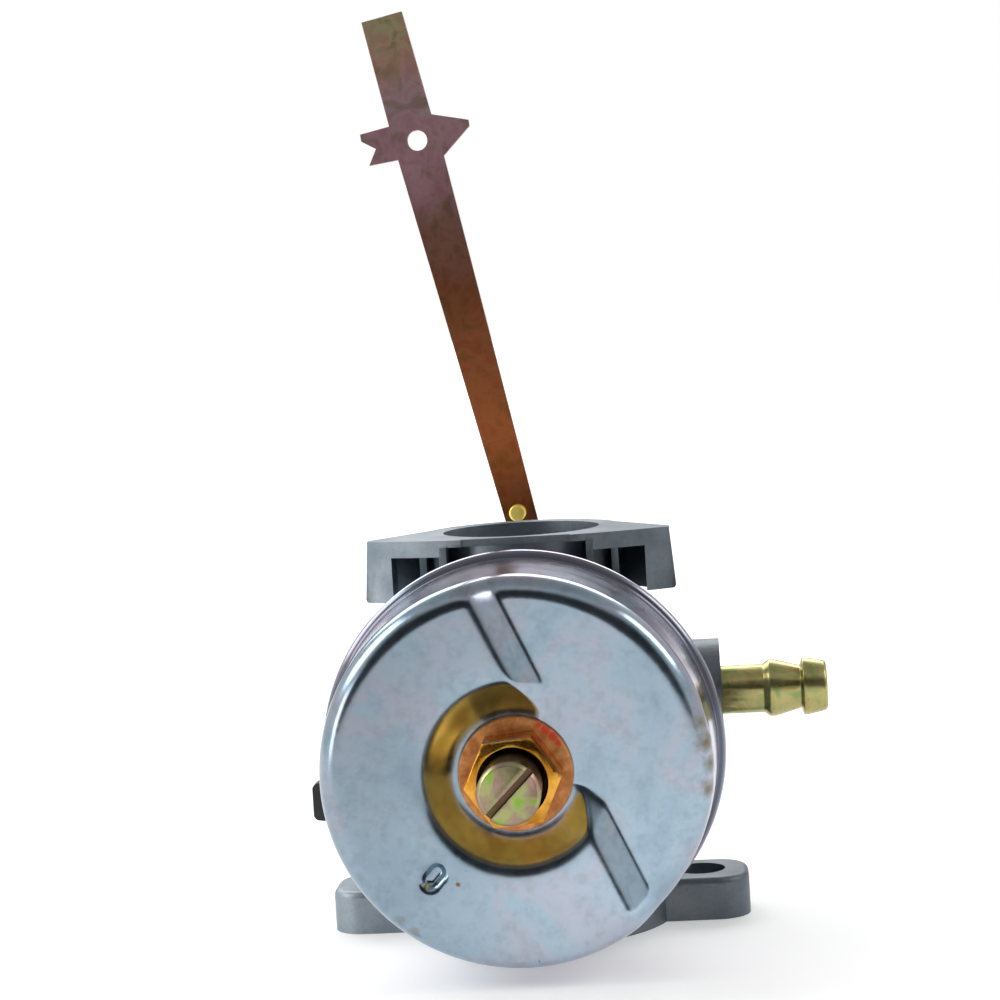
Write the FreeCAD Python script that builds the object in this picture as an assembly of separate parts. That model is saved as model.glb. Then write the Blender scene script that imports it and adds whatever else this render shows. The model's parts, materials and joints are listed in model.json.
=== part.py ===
import FreeCAD, Part
import math
import os
from FreeCAD import Vector

# Small-engine float-bowl carburettor, millimetres.
# +Z runs along the air bore, from the engine flange (z = 0) to the air inlet.
# The float bowl faces -Y, which is down when the carburettor is in use.
# +X points the way the fuel inlet leaves.

X_DIR = Vector(1, 0, 0)
Y_DIR = Vector(0, 1, 0)
Z_DIR = Vector(0, 0, 1)

# A cutting shape runs this far past the face it opens.
CUT_OVER = 1.0
CUT_FAR = 5.0

# ---- air passage ----
BODY_LENGTH = 51.5
BARREL_R = 13.0
INLET_BORE_R = 10.2
INLET_BORE_END_Z = 33.0
VENTURI_R = 7.0
VENTURI_LOW_Z = 24.0
VENTURI_HIGH_Z = 27.5
THROTTLE_BORE_R = 8.5
THROTTLE_BORE_TOP_Z = 19.0

# ---- engine flange ----
ENGINE_FLANGE_T = 5.5
STUD_SPACING = 42.0
STUD_HOLE_R = 3.25
ENGINE_FLANGE_CENTRE_R = 17.4
ENGINE_EAR_HALF_LENGTH = 27.3
ENGINE_EAR_HALF_WIDTH = 6.0
ENGINE_EAR_CORNER_R = 4.2
ENGINE_EDGE_ROUND = 0.9

# ---- air inlet flange ----
# In plan it is a kite: a bowed front, and sides that run back to hug the barrel.
INLET_PLATE_T = 2.1
INLET_HALF_WIDTH = 19.4
INLET_FRONT_CORNER_Y = -7.8
INLET_FRONT_MID_Y = -12.9
INLET_END_LENGTH = 1.5
INLET_BACK_R = 12.6
INLET_SKIRT_Z = 43.6
INLET_SKIRT_FLARE = 0.55
INLET_SKIRT_T = 2.2
INLET_LUG_W = 3.2
INLET_LUG_ROUND = 1.4
CHEEK_ROOT_T = 1.0
CHEEK_TOP_DROP = 0.5
RIB_X = 9.3
RIB_T = 0.9
RIB_TOP_Z = 50.6
RIB_FRONT_Y = -12.3
RIB_ROOT_Y = -4.0
RIB_LOW_Z = 43.5
INNER_RIB_X = 12.3
INNER_RIB_TOP_Z = 49.9
NOTCH_HALF_WIDTH = 6.9
NOTCH_Y = -11.7
NECK_R = 11.6
NECK_LOW_Z = 46.5
NECK_BACK_Y = -6.0

# ---- float chamber, centred on the bowl axis (along Y) ----
BOWL_Z = 25.5
HEAD_R = 24.0
HEAD_FACE_Y = -17.6
HEAD_BACK_Y = -14.2
DOME_R = 21.6
DOME_TOP_Y = -9.0
CHAMBER_R = 19.6
CHAMBER_TOP_Y = -12.4
DOME_ROUND = 1.6
COLUMN_R = 4.8
COLUMN_TOP_Y = -8.0
COLUMN_END_Y = -33.6
COLUMN_THREAD_R = 3.0
COLUMN_THREAD_TOP_Y = -23.0
WELL_R = 2.0

# ---- float bowl (pressed steel) ----
SHEET_T = 0.8
GASKET_INNER_R = 21.8
GASKET_OUTER_R = 23.9
GASKET_T = 0.7
BEAD_R = 25.1
BEAD_T = 1.7
BEAD_ROUND = 0.75
WALL_TOP_R = 24.1
WALL_LOW_R = 23.5
BOWL_DEEP_Y = -37.2
BOWL_SHALLOW_Y = -34.4
BOWL_EDGE_R = 2.8
RAMP_ANGLE = 24.2
RAMP_TOP_OFFSET = 7.7
RAMP_LOW_OFFSET = 4.5
SLOPE_INSET = 0.45
PAD_R = 8.6
PAD_WALL_R = 11.4
DIMPLE_X = -10.6
DIMPLE_Z = 13.4
DIMPLE_LENGTH = 4.3
DIMPLE_WIDTH = 2.8
DIMPLE_DEPTH = 0.9
DIMPLE_ANGLE = 47.0
DIMPLE_DRAFT = 0.5
DIMPLE_LIP = 0.2
BOWL_HOLE_R = 3.3

# ---- bowl nut, washer and drain screw on the bowl axis ----
WASHER_R = 6.85
WASHER_HOLE_R = 3.2
WASHER_T = 1.1
WASHER_ROUND = 0.3
NUT_AF = 10.0
NUT_HEIGHT = 5.7
NUT_SHANK_R = 2.95
NUT_SHANK_END_Y = -25.6
NUT_POCKET_R = 4.2
NUT_POCKET_FLOOR = 1.4
NUT_CORE_R = 2.0
NUT_TURN = 5.0
NUT_CHAMFER_STEEPNESS = 1.9
NUT_CHAMFER_INSET = 0.15
NUT_PORT_R = 0.7
NUT_PORT_Y = -30.0
DRAIN_HEAD_R = 3.45
DRAIN_FACE_R = 3.72
DRAIN_FACE_Y = -48.2
DRAIN_SHANK_R = 1.95
DRAIN_SHANK_END_Y = -28.0
DRAIN_SLOT_W = 0.8
DRAIN_SLOT_DEPTH = 1.2
DRAIN_SLOT_TURN = -45.0
DRAIN_EDGE = 0.55
DRAIN_FACE_TAPER = 0.4
DRAIN_WASHER_T = 0.6
DRAIN_WASHER_R = 3.2
DRAIN_WASHER_GAP = 0.1
MAIN_JET_R = 2.6
MAIN_JET_BORE_R = 0.5
MAIN_JET_TOP_Y = -23.1
MAIN_JET_LOW_Y = -25.0
TUBE_R = 1.85
TUBE_BORE_R = 1.05
TUBE_TOP_Y = -1.5
TUBE_HOLE_R = 0.4
TUBE_HOLE_FIRST_Y = -21.0
TUBE_HOLE_PITCH = 3.0
TUBE_HOLE_COUNT = 4

# ---- float, pin, needle and seat ----
HINGE_X = 15.1
HINGE_Y = -16.0
FUEL_Z = 30.5
FUEL_Y = -10.0
NEEDLE_X = 10.4
FLOAT_OUTER_R = 19.0
FLOAT_INNER_R = 7.2
FLOAT_TOP_Y = -20.6
FLOAT_BOTTOM_Y = -28.4
FLOAT_ROUND = 1.2
FLOAT_TAB_T = 1.0
FLOAT_TAB_HALF = 2.6
FLOAT_TAB_REACH = 1.6
FLOAT_TAB_GAP = 0.06
FLOAT_WEB_INNER = 1.8
FLOAT_WEB_OUTER = 0.6
FLOAT_POST_HALF = 0.8
FLOAT_PIN_R = 0.9
FLOAT_KNUCKLE_R = 1.7
FLOAT_KNUCKLE_HALF = 3.4
FLOAT_PIN_GAP = 0.08
FLOAT_ROOT_DEPTH = 1.0
FLOAT_WEB_DROP = 0.6
LUG_HALF_SPAN = 6.0
LUG_T = 2.2
LUG_HALF = 1.9
LUG_TOP_Y = -13.7
SEAT_OUTER_R = 2.5
SEAT_END_Y = -17.2
SEAT_TOP_Y = -10.9
SEAT_GUIDE_R = 1.5
SEAT_ORIFICE_R = 0.8
SEAT_STEP_Y = -13.4
SEAT_POCKET_LOW_Y = -15.0
SEAT_BOSS_R = 3.4
SEAT_BOSS_TOP_Y = -7.4
SEAT_BOSS_LOW_Y = -14.2
NEEDLE_R = 1.42
NEEDLE_TIP_Y = -13.0
NEEDLE_TIP_R = 0.25
NEEDLE_SHOULDER_Y = -14.4
NEEDLE_TAIL_Y = -17.6
NEEDLE_TAIL_R = 0.4
NEEDLE_END_Y = -18.6
NEEDLE_FLAT = 1.1
NEEDLE_FLAT_MARGIN = 0.2
PASSAGE_R = 1.4

# ---- fuel inlet barb ----
INLET_BOSS_R = 6.6
INLET_BOSS_START_X = 17.0
INLET_BOSS_END_X = 24.9
FUEL_DUCT_R = 3.6
FUEL_DUCT_END_X = 20.0
BARB_TIP_X = 38.2
BARB_R = 3.6
BARB_TUBE_R = 3.05
BARB_WAIST_R = 2.7
BARB_TIP_R = 3.15
BARB_TIP_CHAMFER = 0.25
FIRST_RIDGE_X = 31.3
SECOND_RIDGE_X = 35.5
RIDGE_LAND = 0.6
RIDGE_RAMP = 0.5
BARB_BORE_R = 1.6
BARB_SHANK_R = 2.6
BARB_SHANK_X = 17.5
BARB_END_GAP = 0.2

# ---- choke (air inlet end) ----
CHOKE_Z = 41.0
SHAFT_R = 2.0
RUNNING_GAP = 0.05
PLATE_T = 0.9
CHOKE_PLATE_R = 10.08
CHOKE_RELIEF_R = 1.5
CHOKE_BOSS_TOP_Y = 17.4
CHOKE_SHAFT_TOP_Y = 25.9
SHAFT_BOTTOM_Y = -12.0
CHOKE_BOSS_R = 4.4
CHOKE_BOSS_ROOT_Y = 9.0
SHAFT_END_GAP = 0.2
FLAT_MARGIN = 0.1
PLATE_SCREW_Y = 4.6
CHOKE_LEVER_Y = 24.0
CHOKE_LEVER_T = 1.0
CHOKE_LEAN = 11.75
CHOKE_LEVER_HUB_R = 4.3
CHOKE_COLLAR_R = 3.2
CHOKE_COLLAR_T = 1.8
CHOKE_RELIEF_X = 5.6
# Outline of the flat lever as (along, across) from its pivot: root, notched ears, tip and back.
CHOKE_LEVER_OUTLINE = (
    (0.0, -1.4), (62.6, -3.0),
    (62.9, -7.1), (64.9, -5.6), (66.4, -7.3), (67.4, -7.2), (67.4, -3.0),
    (82.2, -2.95), (82.2, 2.85),
    (67.5, 3.1), (65.4, 7.9), (64.5, 7.8), (61.5, 3.3),
    (9.5, 2.75), (0.0, 2.7),
)
LEVER_HOLE_ALONG = 64.5
LEVER_HOLE_ACROSS = 0.3
LEVER_HOLE_R = 1.4
PIN_ALONG = 10.95
PIN_ACROSS = 0.4
PIN_R = 1.15
PIN_SHANK_R = 0.9
PIN_LENGTH = 2.4
PIN_RIVET_R = 1.25
PIN_RIVET_T = 0.5
PIN_ROUND = 0.3
DETENT_Y = 14.6
DETENT_HOUSING_R = 2.4
DETENT_HOUSING_X = 9.4
DETENT_BALL_R = 1.15
DETENT_WALL = 0.8
DETENT_WEB_HALF = 1.2
DETENT_WEB_ROOT_Y = 8.0
DETENT_BORE_GAP = 0.1
DETENT_BALL_GAP = 0.04
DETENT_COIL_R = 0.85
DETENT_WIRE_R = 0.2
DETENT_SPRING_TURNS = 5

# ---- throttle (engine end) ----
THROTTLE_Z = 12.0
THROTTLE_PLATE_R = 8.4
THROTTLE_BOSS_TOP_Y = 16.0
THROTTLE_BOSS_R = 4.6
THROTTLE_BOSS_ROOT_Y = 7.0
THROTTLE_SHAFT_TOP_Y = 22.4
THROTTLE_SHAFT_BOTTOM_Y = -11.2
THROTTLE_LEVER_Y = 18.6
THROTTLE_LEVER_T = 2.6
THROTTLE_HUB_R = 5.4
THROTTLE_HUB_STEP = 1.2
THROTTLE_ARM_ROOT_HALF = 4.6
THROTTLE_END_X = -32.6
THROTTLE_END_Z = 13.1
THROTTLE_END_HALF = 2.6
THROTTLE_END_ROUND = 0.9
THROTTLE_LINK_HOLES = ((-29.8, 1.0), (-26.0, 1.0), (-21.6, 1.3))
THROTTLE_WINDOW_X = (-8.2, -15.6)
THROTTLE_WINDOW_HALF = (1.9, 1.3)
THROTTLE_WINDOW_DRIFT = 0.5
STOP_ARM_X = 10.4
STOP_ARM_TOP_Z = 13.8
STOP_ARM_HEIGHT = 4.0
LEVER_SCREW_R = 2.7
LEVER_SCREW_HEAD_T = 1.2
LEVER_SCREW_SLOT_DEPTH = 0.6
SLOT_W = 0.7
DRIVE_GAP = 0.02
SEAL_R = 3.4
SEAL_T = 1.0
SEAL_GAP = 0.1

# ---- adjusting screws ----
IDLE_X = 8.4
IDLE_Y = 19.9
IDLE_BOSS_LOW_Z = 17.2
IDLE_BOSS_HIGH_Z = 22.4
IDLE_TIP_Z = 13.85
IDLE_HEAD_Z = 31.2
SCREW_R = 1.9
SCREW_GAP = 0.1
SCREW_HEAD_R = 3.1
SCREW_HEAD_T = 2.4
SCREW_SLOT_W = 0.8
SCREW_SLOT_DEPTH = 1.0
SPRING_R = 2.45
SPRING_WIRE_R = 0.35
IDLE_TIP_R = 1.1
IDLE_TIP_LENGTH = 1.0
IDLE_SPRING_TURNS = 5
IDLE_BOSS_HALF = 2.9
IDLE_BOSS_BACK = 3.0
IDLE_BOSS_ROOT_Y = 7.0
MIXTURE_Y = 6.0
MIXTURE_Z = 17.0
MIXTURE_BOSS_R = 3.7
MIXTURE_BOSS_ROOT_X = -9.0
MIXTURE_BOSS_X = -18.0
MIXTURE_HEAD_X = -23.2
MIXTURE_SEAT_X = -10.6
MIXTURE_NEEDLE_X = -7.4
MIXTURE_NEEDLE_ROOT_R = 0.65
MIXTURE_NEEDLE_TIP_R = 0.3
MIXTURE_SPRING_TURNS = 3.5
MIXTURE_PORT_R = 0.75
MIXTURE_PORT_X = -4.0

# ---- pilot jet and sealing plug ----
PILOT_X = -7.6
PILOT_Z = 28.5
PILOT_BOSS_R = 4.0
PILOT_BOSS_ROOT_Y = 7.0
PILOT_BOSS_TOP_Y = 15.4
PILOT_HEAD_R = 3.0
PILOT_HEAD_TOP_Y = 17.2
PILOT_SHANK_R = 1.95
PILOT_SHANK_END_Y = 11.6
PILOT_BORE_R = 0.5
PILOT_BORE_DEPTH = 2.4
PLUG_Y = 3.0
PLUG_Z = 15.0
PLUG_R = 4.0
PLUG_SEAT_X = 13.6
PLUG_T = 0.5
PLUG_DOME_R = 9.0
PLUG_BOSS_R = 5.2
PLUG_BOSS_ROOT_X = 9.0
PLUG_BOSS_X = 14.4

# ---- butterfly plate screws ----
PLATE_SCREW_HEAD_R = 1.9
PLATE_SCREW_HEAD_T = 1.3
PLATE_SCREW_SHANK_R = 1.15
PLATE_SCREW_HOLE_R = 1.2
PLATE_SCREW_SLOT = 0.5


def cylinder(radius, start, end):
    """Round bar between two points."""
    run = end.sub(start)
    return Part.makeCylinder(radius, run.Length, start, run)


def cone(start_r, end_r, start, end):
    """Tapered round bar between two points."""
    run = end.sub(start)
    return Part.makeCone(start_r, end_r, run.Length, start, run)


def ring(outer_r, inner_r, start, end):
    """Tube between two points."""
    return cylinder(outer_r, start, end).cut(cylinder(inner_r, start, end))


def block(x_low, x_high, y_low, y_high, z_low, z_high):
    """Upright box given by its limits."""
    return Part.makeBox(x_high - x_low, y_high - y_low, z_high - z_low, Vector(x_low, y_low, z_low))


def prism(points, run):
    """Straight extrusion of a closed outline."""
    wire = Part.makePolygon(list(points) + [points[0]])
    return Part.Face(wire).extrude(run)


def join(*solids):
    """One solid out of several that touch."""
    merged = solids[0]
    for solid in solids[1:]:
        merged = merged.fuse(solid)
    return merged.removeSplitter()


def on_bowl_axis(y):
    return Vector(0, y, BOWL_Z)


def on_fuel_line(x):
    return Vector(x, FUEL_Y, FUEL_Z)


def on_hinge(z_offset):
    return Vector(HINGE_X, HINGE_Y, FUEL_Z + z_offset)


def at_needle(y):
    return Vector(NEEDLE_X, y, FUEL_Z)


def at_mixture(x):
    return Vector(x, MIXTURE_Y, MIXTURE_Z)


def at_pilot(y):
    return Vector(PILOT_X, y, PILOT_Z)


def spring(radius, wire_r, start, end, turns):
    """Open coil spring between two points."""
    run = end.sub(start)
    length = run.Length - 2 * wire_r
    helix = Part.makeHelix(length / turns, length, radius)
    section = Part.Wire(Part.makeCircle(wire_r, Vector(radius, 0, 0), Y_DIR))
    coil = Part.Wire(helix.Edges).makePipeShell([section], True, True)
    coil.translate(Vector(0, 0, wire_r))
    turn = FreeCAD.Rotation(Z_DIR, run)
    coil.Placement = FreeCAD.Placement(start, turn).multiply(coil.Placement)
    return coil


def plate_screws(centre_z, plate_top_z):
    """Two pan-head screws that hold a butterfly plate on its shaft."""
    head_top_z = plate_top_z + PLATE_SCREW_HEAD_T
    half_slot = PLATE_SCREW_SLOT / 2
    solids = []
    for side in (-1, 1):
        y = side * PLATE_SCREW_Y
        head = cylinder(PLATE_SCREW_HEAD_R, Vector(0, y, plate_top_z), Vector(0, y, head_top_z))
        shank = cylinder(PLATE_SCREW_SHANK_R, Vector(0, y, centre_z - SHAFT_R), Vector(0, y, plate_top_z))
        groove = block(-PLATE_SCREW_HEAD_R, PLATE_SCREW_HEAD_R, y - half_slot, y + half_slot,
                       head_top_z - PLATE_SCREW_SLOT, head_top_z)
        solids.append(head.fuse(shank).cut(groove).removeSplitter())
    return Part.makeCompound(solids)


def butterfly_plate(radius, centre_z):
    """Round plate lying on the flat of its shaft."""
    plate = cylinder(radius, Vector(0, 0, centre_z), Vector(0, 0, centre_z + PLATE_T))
    for side in (-1, 1):
        y = side * PLATE_SCREW_Y
        hole = cylinder(PLATE_SCREW_HOLE_R, Vector(0, y, centre_z), Vector(0, y, centre_z + PLATE_T))
        plate = plate.cut(hole)
    return plate


def butterfly_shaft(centre_z, bottom_y, top_y, plate_r):
    """Shaft with a milled flat for its plate and two tapped holes."""
    shaft = cylinder(SHAFT_R, Vector(0, bottom_y, centre_z), Vector(0, top_y, centre_z))
    flat_half = plate_r + FLAT_MARGIN
    shaft = shaft.cut(block(-SHAFT_R, SHAFT_R, -flat_half, flat_half, centre_z, centre_z + SHAFT_R))
    for side in (-1, 1):
        y = side * PLATE_SCREW_Y
        far_side = Vector(0, y, centre_z - SHAFT_R - CUT_OVER)
        shaft = shaft.cut(cylinder(PLATE_SCREW_HOLE_R, far_side, Vector(0, y, centre_z)))
    return shaft


def shaft_seal(centre_z, boss_top_y):
    """Dust seal ring lying on a shaft boss."""
    return ring(SEAL_R, SHAFT_R + SEAL_GAP, Vector(0, boss_top_y, centre_z),
                Vector(0, boss_top_y + SEAL_T, centre_z))


# ---- body casting ----

def engine_flange():
    disc = cylinder(ENGINE_FLANGE_CENTRE_R, Vector(0, 0, 0), Vector(0, 0, ENGINE_FLANGE_T))
    ears = block(-ENGINE_EAR_HALF_LENGTH, ENGINE_EAR_HALF_LENGTH,
                 -ENGINE_EAR_HALF_WIDTH, ENGINE_EAR_HALF_WIDTH, 0, ENGINE_FLANGE_T)
    upright = [edge for edge in ears.Edges if abs(edge.tangentAt(edge.FirstParameter).z) > 0.9]
    ears = ears.makeFillet(ENGINE_EAR_CORNER_R, upright)
    flange = join(disc, ears)
    top_rim = [edge for edge in flange.Edges if edge.BoundBox.ZMin > ENGINE_FLANGE_T - 0.01]
    return flange.makeFillet(ENGINE_EDGE_ROUND, top_rim)


def kite_face(z):
    """Plan outline of the air inlet flange."""
    corner_y = INLET_FRONT_CORNER_Y + INLET_END_LENGTH
    reach = math.hypot(INLET_HALF_WIDTH, corner_y)
    touch = math.atan2(corner_y, INLET_HALF_WIDTH) + math.acos(INLET_BACK_R / reach)
    touch_x = INLET_BACK_R * math.cos(touch)
    touch_y = INLET_BACK_R * math.sin(touch)
    left = Vector(-INLET_HALF_WIDTH, INLET_FRONT_CORNER_Y, z)
    right = Vector(INLET_HALF_WIDTH, INLET_FRONT_CORNER_Y, z)
    left_end = Vector(-INLET_HALF_WIDTH, corner_y, z)
    right_end = Vector(INLET_HALF_WIDTH, corner_y, z)
    left_touch = Vector(-touch_x, touch_y, z)
    right_touch = Vector(touch_x, touch_y, z)
    edges = [
        Part.Arc(left, Vector(0, INLET_FRONT_MID_Y, z), right).toShape(),
        Part.makeLine(right, right_end),
        Part.makeLine(right_end, right_touch),
        Part.Arc(right_touch, Vector(0, INLET_BACK_R, z), left_touch).toShape(),
        Part.makeLine(left_touch, left_end),
        Part.makeLine(left_end, left),
    ]
    return Part.Face(Part.Wire(edges)), touch


def inlet_pocket(side, touch):
    """Space cored out under one half of the flange, open at the front and below."""
    lug_x = INLET_HALF_WIDTH - INLET_LUG_W
    root_x = BARREL_R * math.cos(touch)
    front_y = INLET_FRONT_MID_Y - CUT_FAR
    low_z = INLET_SKIRT_Z - CUT_OVER

    def wall_y(x):
        return (INLET_BACK_R - INLET_SKIRT_T - x * math.cos(touch)) / math.sin(touch)

    outline = [
        (0, front_y),
        (lug_x, front_y),
        (lug_x, wall_y(lug_x)),
        (root_x, wall_y(root_x)),
        (0, wall_y(root_x)),
    ]
    pocket = prism([Vector(side * x, y, low_z) for x, y in outline],
                   Vector(0, 0, BODY_LENGTH - INLET_PLATE_T - low_z))
    deep_corner = [edge for edge in pocket.Edges
                   if abs(edge.tangentAt(edge.FirstParameter).z) > 0.9
                   and abs(abs(edge.Vertexes[0].X) - lug_x) < 0.01
                   and edge.Vertexes[0].Y > INLET_FRONT_MID_Y]
    return pocket.makeFillet(INLET_LUG_ROUND, deep_corner)


def inlet_flange():
    face, touch = kite_face(INLET_SKIRT_Z)
    flange = face.extrude(Vector(0, 0, BODY_LENGTH - INLET_SKIRT_Z))
    cheek_inner_x = INLET_HALF_WIDTH - CHEEK_ROOT_T
    cheek_top_z = BODY_LENGTH - CHEEK_TOP_DROP
    foot_x = INLET_HALF_WIDTH + INLET_SKIRT_FLARE
    parts = []
    for side in (-1, 1):
        flange = flange.cut(inlet_pocket(side, touch))
        outline = [
            Vector(side * cheek_inner_x, INLET_FRONT_CORNER_Y, cheek_top_z),
            Vector(side * INLET_HALF_WIDTH, INLET_FRONT_CORNER_Y, cheek_top_z),
            Vector(side * foot_x, INLET_FRONT_CORNER_Y, INLET_SKIRT_Z),
            Vector(side * cheek_inner_x, INLET_FRONT_CORNER_Y, INLET_SKIRT_Z),
        ]
        cheek = prism(outline, Vector(0, INLET_END_LENGTH, 0))
        foot = [edge for edge in cheek.Edges
                if edge.BoundBox.ZMax < INLET_SKIRT_Z + 0.01
                and min(abs(v.X) for v in edge.Vertexes) > foot_x - 0.01]
        parts.append(cheek.makeFillet(INLET_SKIRT_FLARE - 0.05, foot))
        for rib_x, front_y, top_z in (
                (RIB_X, RIB_FRONT_Y, RIB_TOP_Z),
                (INNER_RIB_X, INLET_FRONT_CORNER_Y, INNER_RIB_TOP_Z)):
            low_x = side * rib_x - RIB_T / 2
            parts.append(block(low_x, low_x + RIB_T, front_y, RIB_ROOT_Y, RIB_LOW_Z, top_z))
    return join(flange, *parts)


def neck_recess():
    """Step cored round the front of the barrel, just below the inlet face."""
    half = RIB_X - RIB_T / 2
    band = block(-half, half, INLET_FRONT_MID_Y - CUT_FAR, NECK_BACK_Y, NECK_LOW_Z, RIB_TOP_Z)
    return band.cut(cylinder(NECK_R, Vector(0, 0, NECK_LOW_Z - CUT_OVER), Vector(0, 0, BODY_LENGTH)))


def float_chamber_head():
    head = cylinder(HEAD_R, on_bowl_axis(HEAD_FACE_Y), on_bowl_axis(HEAD_BACK_Y))
    dome = cylinder(DOME_R, on_bowl_axis(HEAD_BACK_Y), on_bowl_axis(DOME_TOP_Y))
    rim = [edge for edge in dome.Edges if edge.BoundBox.YMin > DOME_TOP_Y - 0.1]
    dome = dome.makeFillet(DOME_ROUND, rim)
    chamber = cylinder(CHAMBER_R, on_bowl_axis(HEAD_FACE_Y), on_bowl_axis(CHAMBER_TOP_Y))
    return join(head, dome).cut(chamber)


def body_lumps():
    """Solid lumps that stand on the barrel and the float chamber head."""
    throttle_root = Vector(0, THROTTLE_BOSS_ROOT_Y, THROTTLE_Z)
    throttle_top = Vector(0, THROTTLE_BOSS_TOP_Y, THROTTLE_Z)
    choke_root = Vector(0, CHOKE_BOSS_ROOT_Y, CHOKE_Z)
    choke_top = Vector(0, CHOKE_BOSS_TOP_Y, CHOKE_Z)
    detent_root = Vector(0, DETENT_Y, CHOKE_Z)
    detent_end = Vector(DETENT_HOUSING_X, DETENT_Y, CHOKE_Z)
    plug_root = Vector(PLUG_BOSS_ROOT_X, PLUG_Y, PLUG_Z)
    plug_face = Vector(PLUG_BOSS_X, PLUG_Y, PLUG_Z)
    lumps = [
        cylinder(COLUMN_R, on_bowl_axis(COLUMN_TOP_Y), on_bowl_axis(COLUMN_END_Y)),
        cylinder(CHOKE_BOSS_R, choke_root, choke_top),
        cylinder(THROTTLE_BOSS_R, throttle_root, throttle_top),
        cylinder(DETENT_HOUSING_R, detent_root, detent_end),
        block(0, DETENT_HOUSING_X, DETENT_WEB_ROOT_Y, DETENT_Y,
              CHOKE_Z - DETENT_WEB_HALF, CHOKE_Z + DETENT_WEB_HALF),
        cylinder(INLET_BOSS_R, on_fuel_line(INLET_BOSS_START_X), on_fuel_line(INLET_BOSS_END_X)),
        cylinder(FUEL_DUCT_R, on_fuel_line(NEEDLE_X), on_fuel_line(FUEL_DUCT_END_X)),
        cylinder(SEAT_BOSS_R, at_needle(SEAT_BOSS_TOP_Y), at_needle(SEAT_BOSS_LOW_Y)),
        block(IDLE_X - IDLE_BOSS_HALF, IDLE_X + IDLE_BOSS_HALF, IDLE_BOSS_ROOT_Y, IDLE_Y + IDLE_BOSS_BACK,
              IDLE_BOSS_LOW_Z, IDLE_BOSS_HIGH_Z),
        cylinder(MIXTURE_BOSS_R, at_mixture(MIXTURE_BOSS_ROOT_X), at_mixture(MIXTURE_BOSS_X)),
        cylinder(PILOT_BOSS_R, at_pilot(PILOT_BOSS_ROOT_Y), at_pilot(PILOT_BOSS_TOP_Y)),
        cylinder(PLUG_BOSS_R, plug_root, plug_face),
    ]
    for side in (-1, 1):
        inner_z = FUEL_Z + side * (LUG_HALF_SPAN - LUG_T)
        outer_z = FUEL_Z + side * LUG_HALF_SPAN
        lumps.append(block(HINGE_X - LUG_HALF, HINGE_X + LUG_HALF, HINGE_Y - LUG_HALF, LUG_TOP_Y,
                           min(inner_z, outer_z), max(inner_z, outer_z)))
    return lumps


def bore_cuts():
    """Air passage: inlet bore, venturi and throttle bore, with tapers between them."""
    return [
        cylinder(INLET_BORE_R, Vector(0, 0, INLET_BORE_END_Z), Vector(0, 0, BODY_LENGTH + CUT_OVER)),
        cone(VENTURI_R, INLET_BORE_R, Vector(0, 0, VENTURI_HIGH_Z), Vector(0, 0, INLET_BORE_END_Z)),
        cylinder(VENTURI_R, Vector(0, 0, VENTURI_LOW_Z), Vector(0, 0, VENTURI_HIGH_Z)),
        cone(THROTTLE_BORE_R, VENTURI_R, Vector(0, 0, THROTTLE_BORE_TOP_Z), Vector(0, 0, VENTURI_LOW_Z)),
        cylinder(THROTTLE_BORE_R, Vector(0, 0, -CUT_OVER), Vector(0, 0, THROTTLE_BORE_TOP_Z)),
    ]


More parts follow.
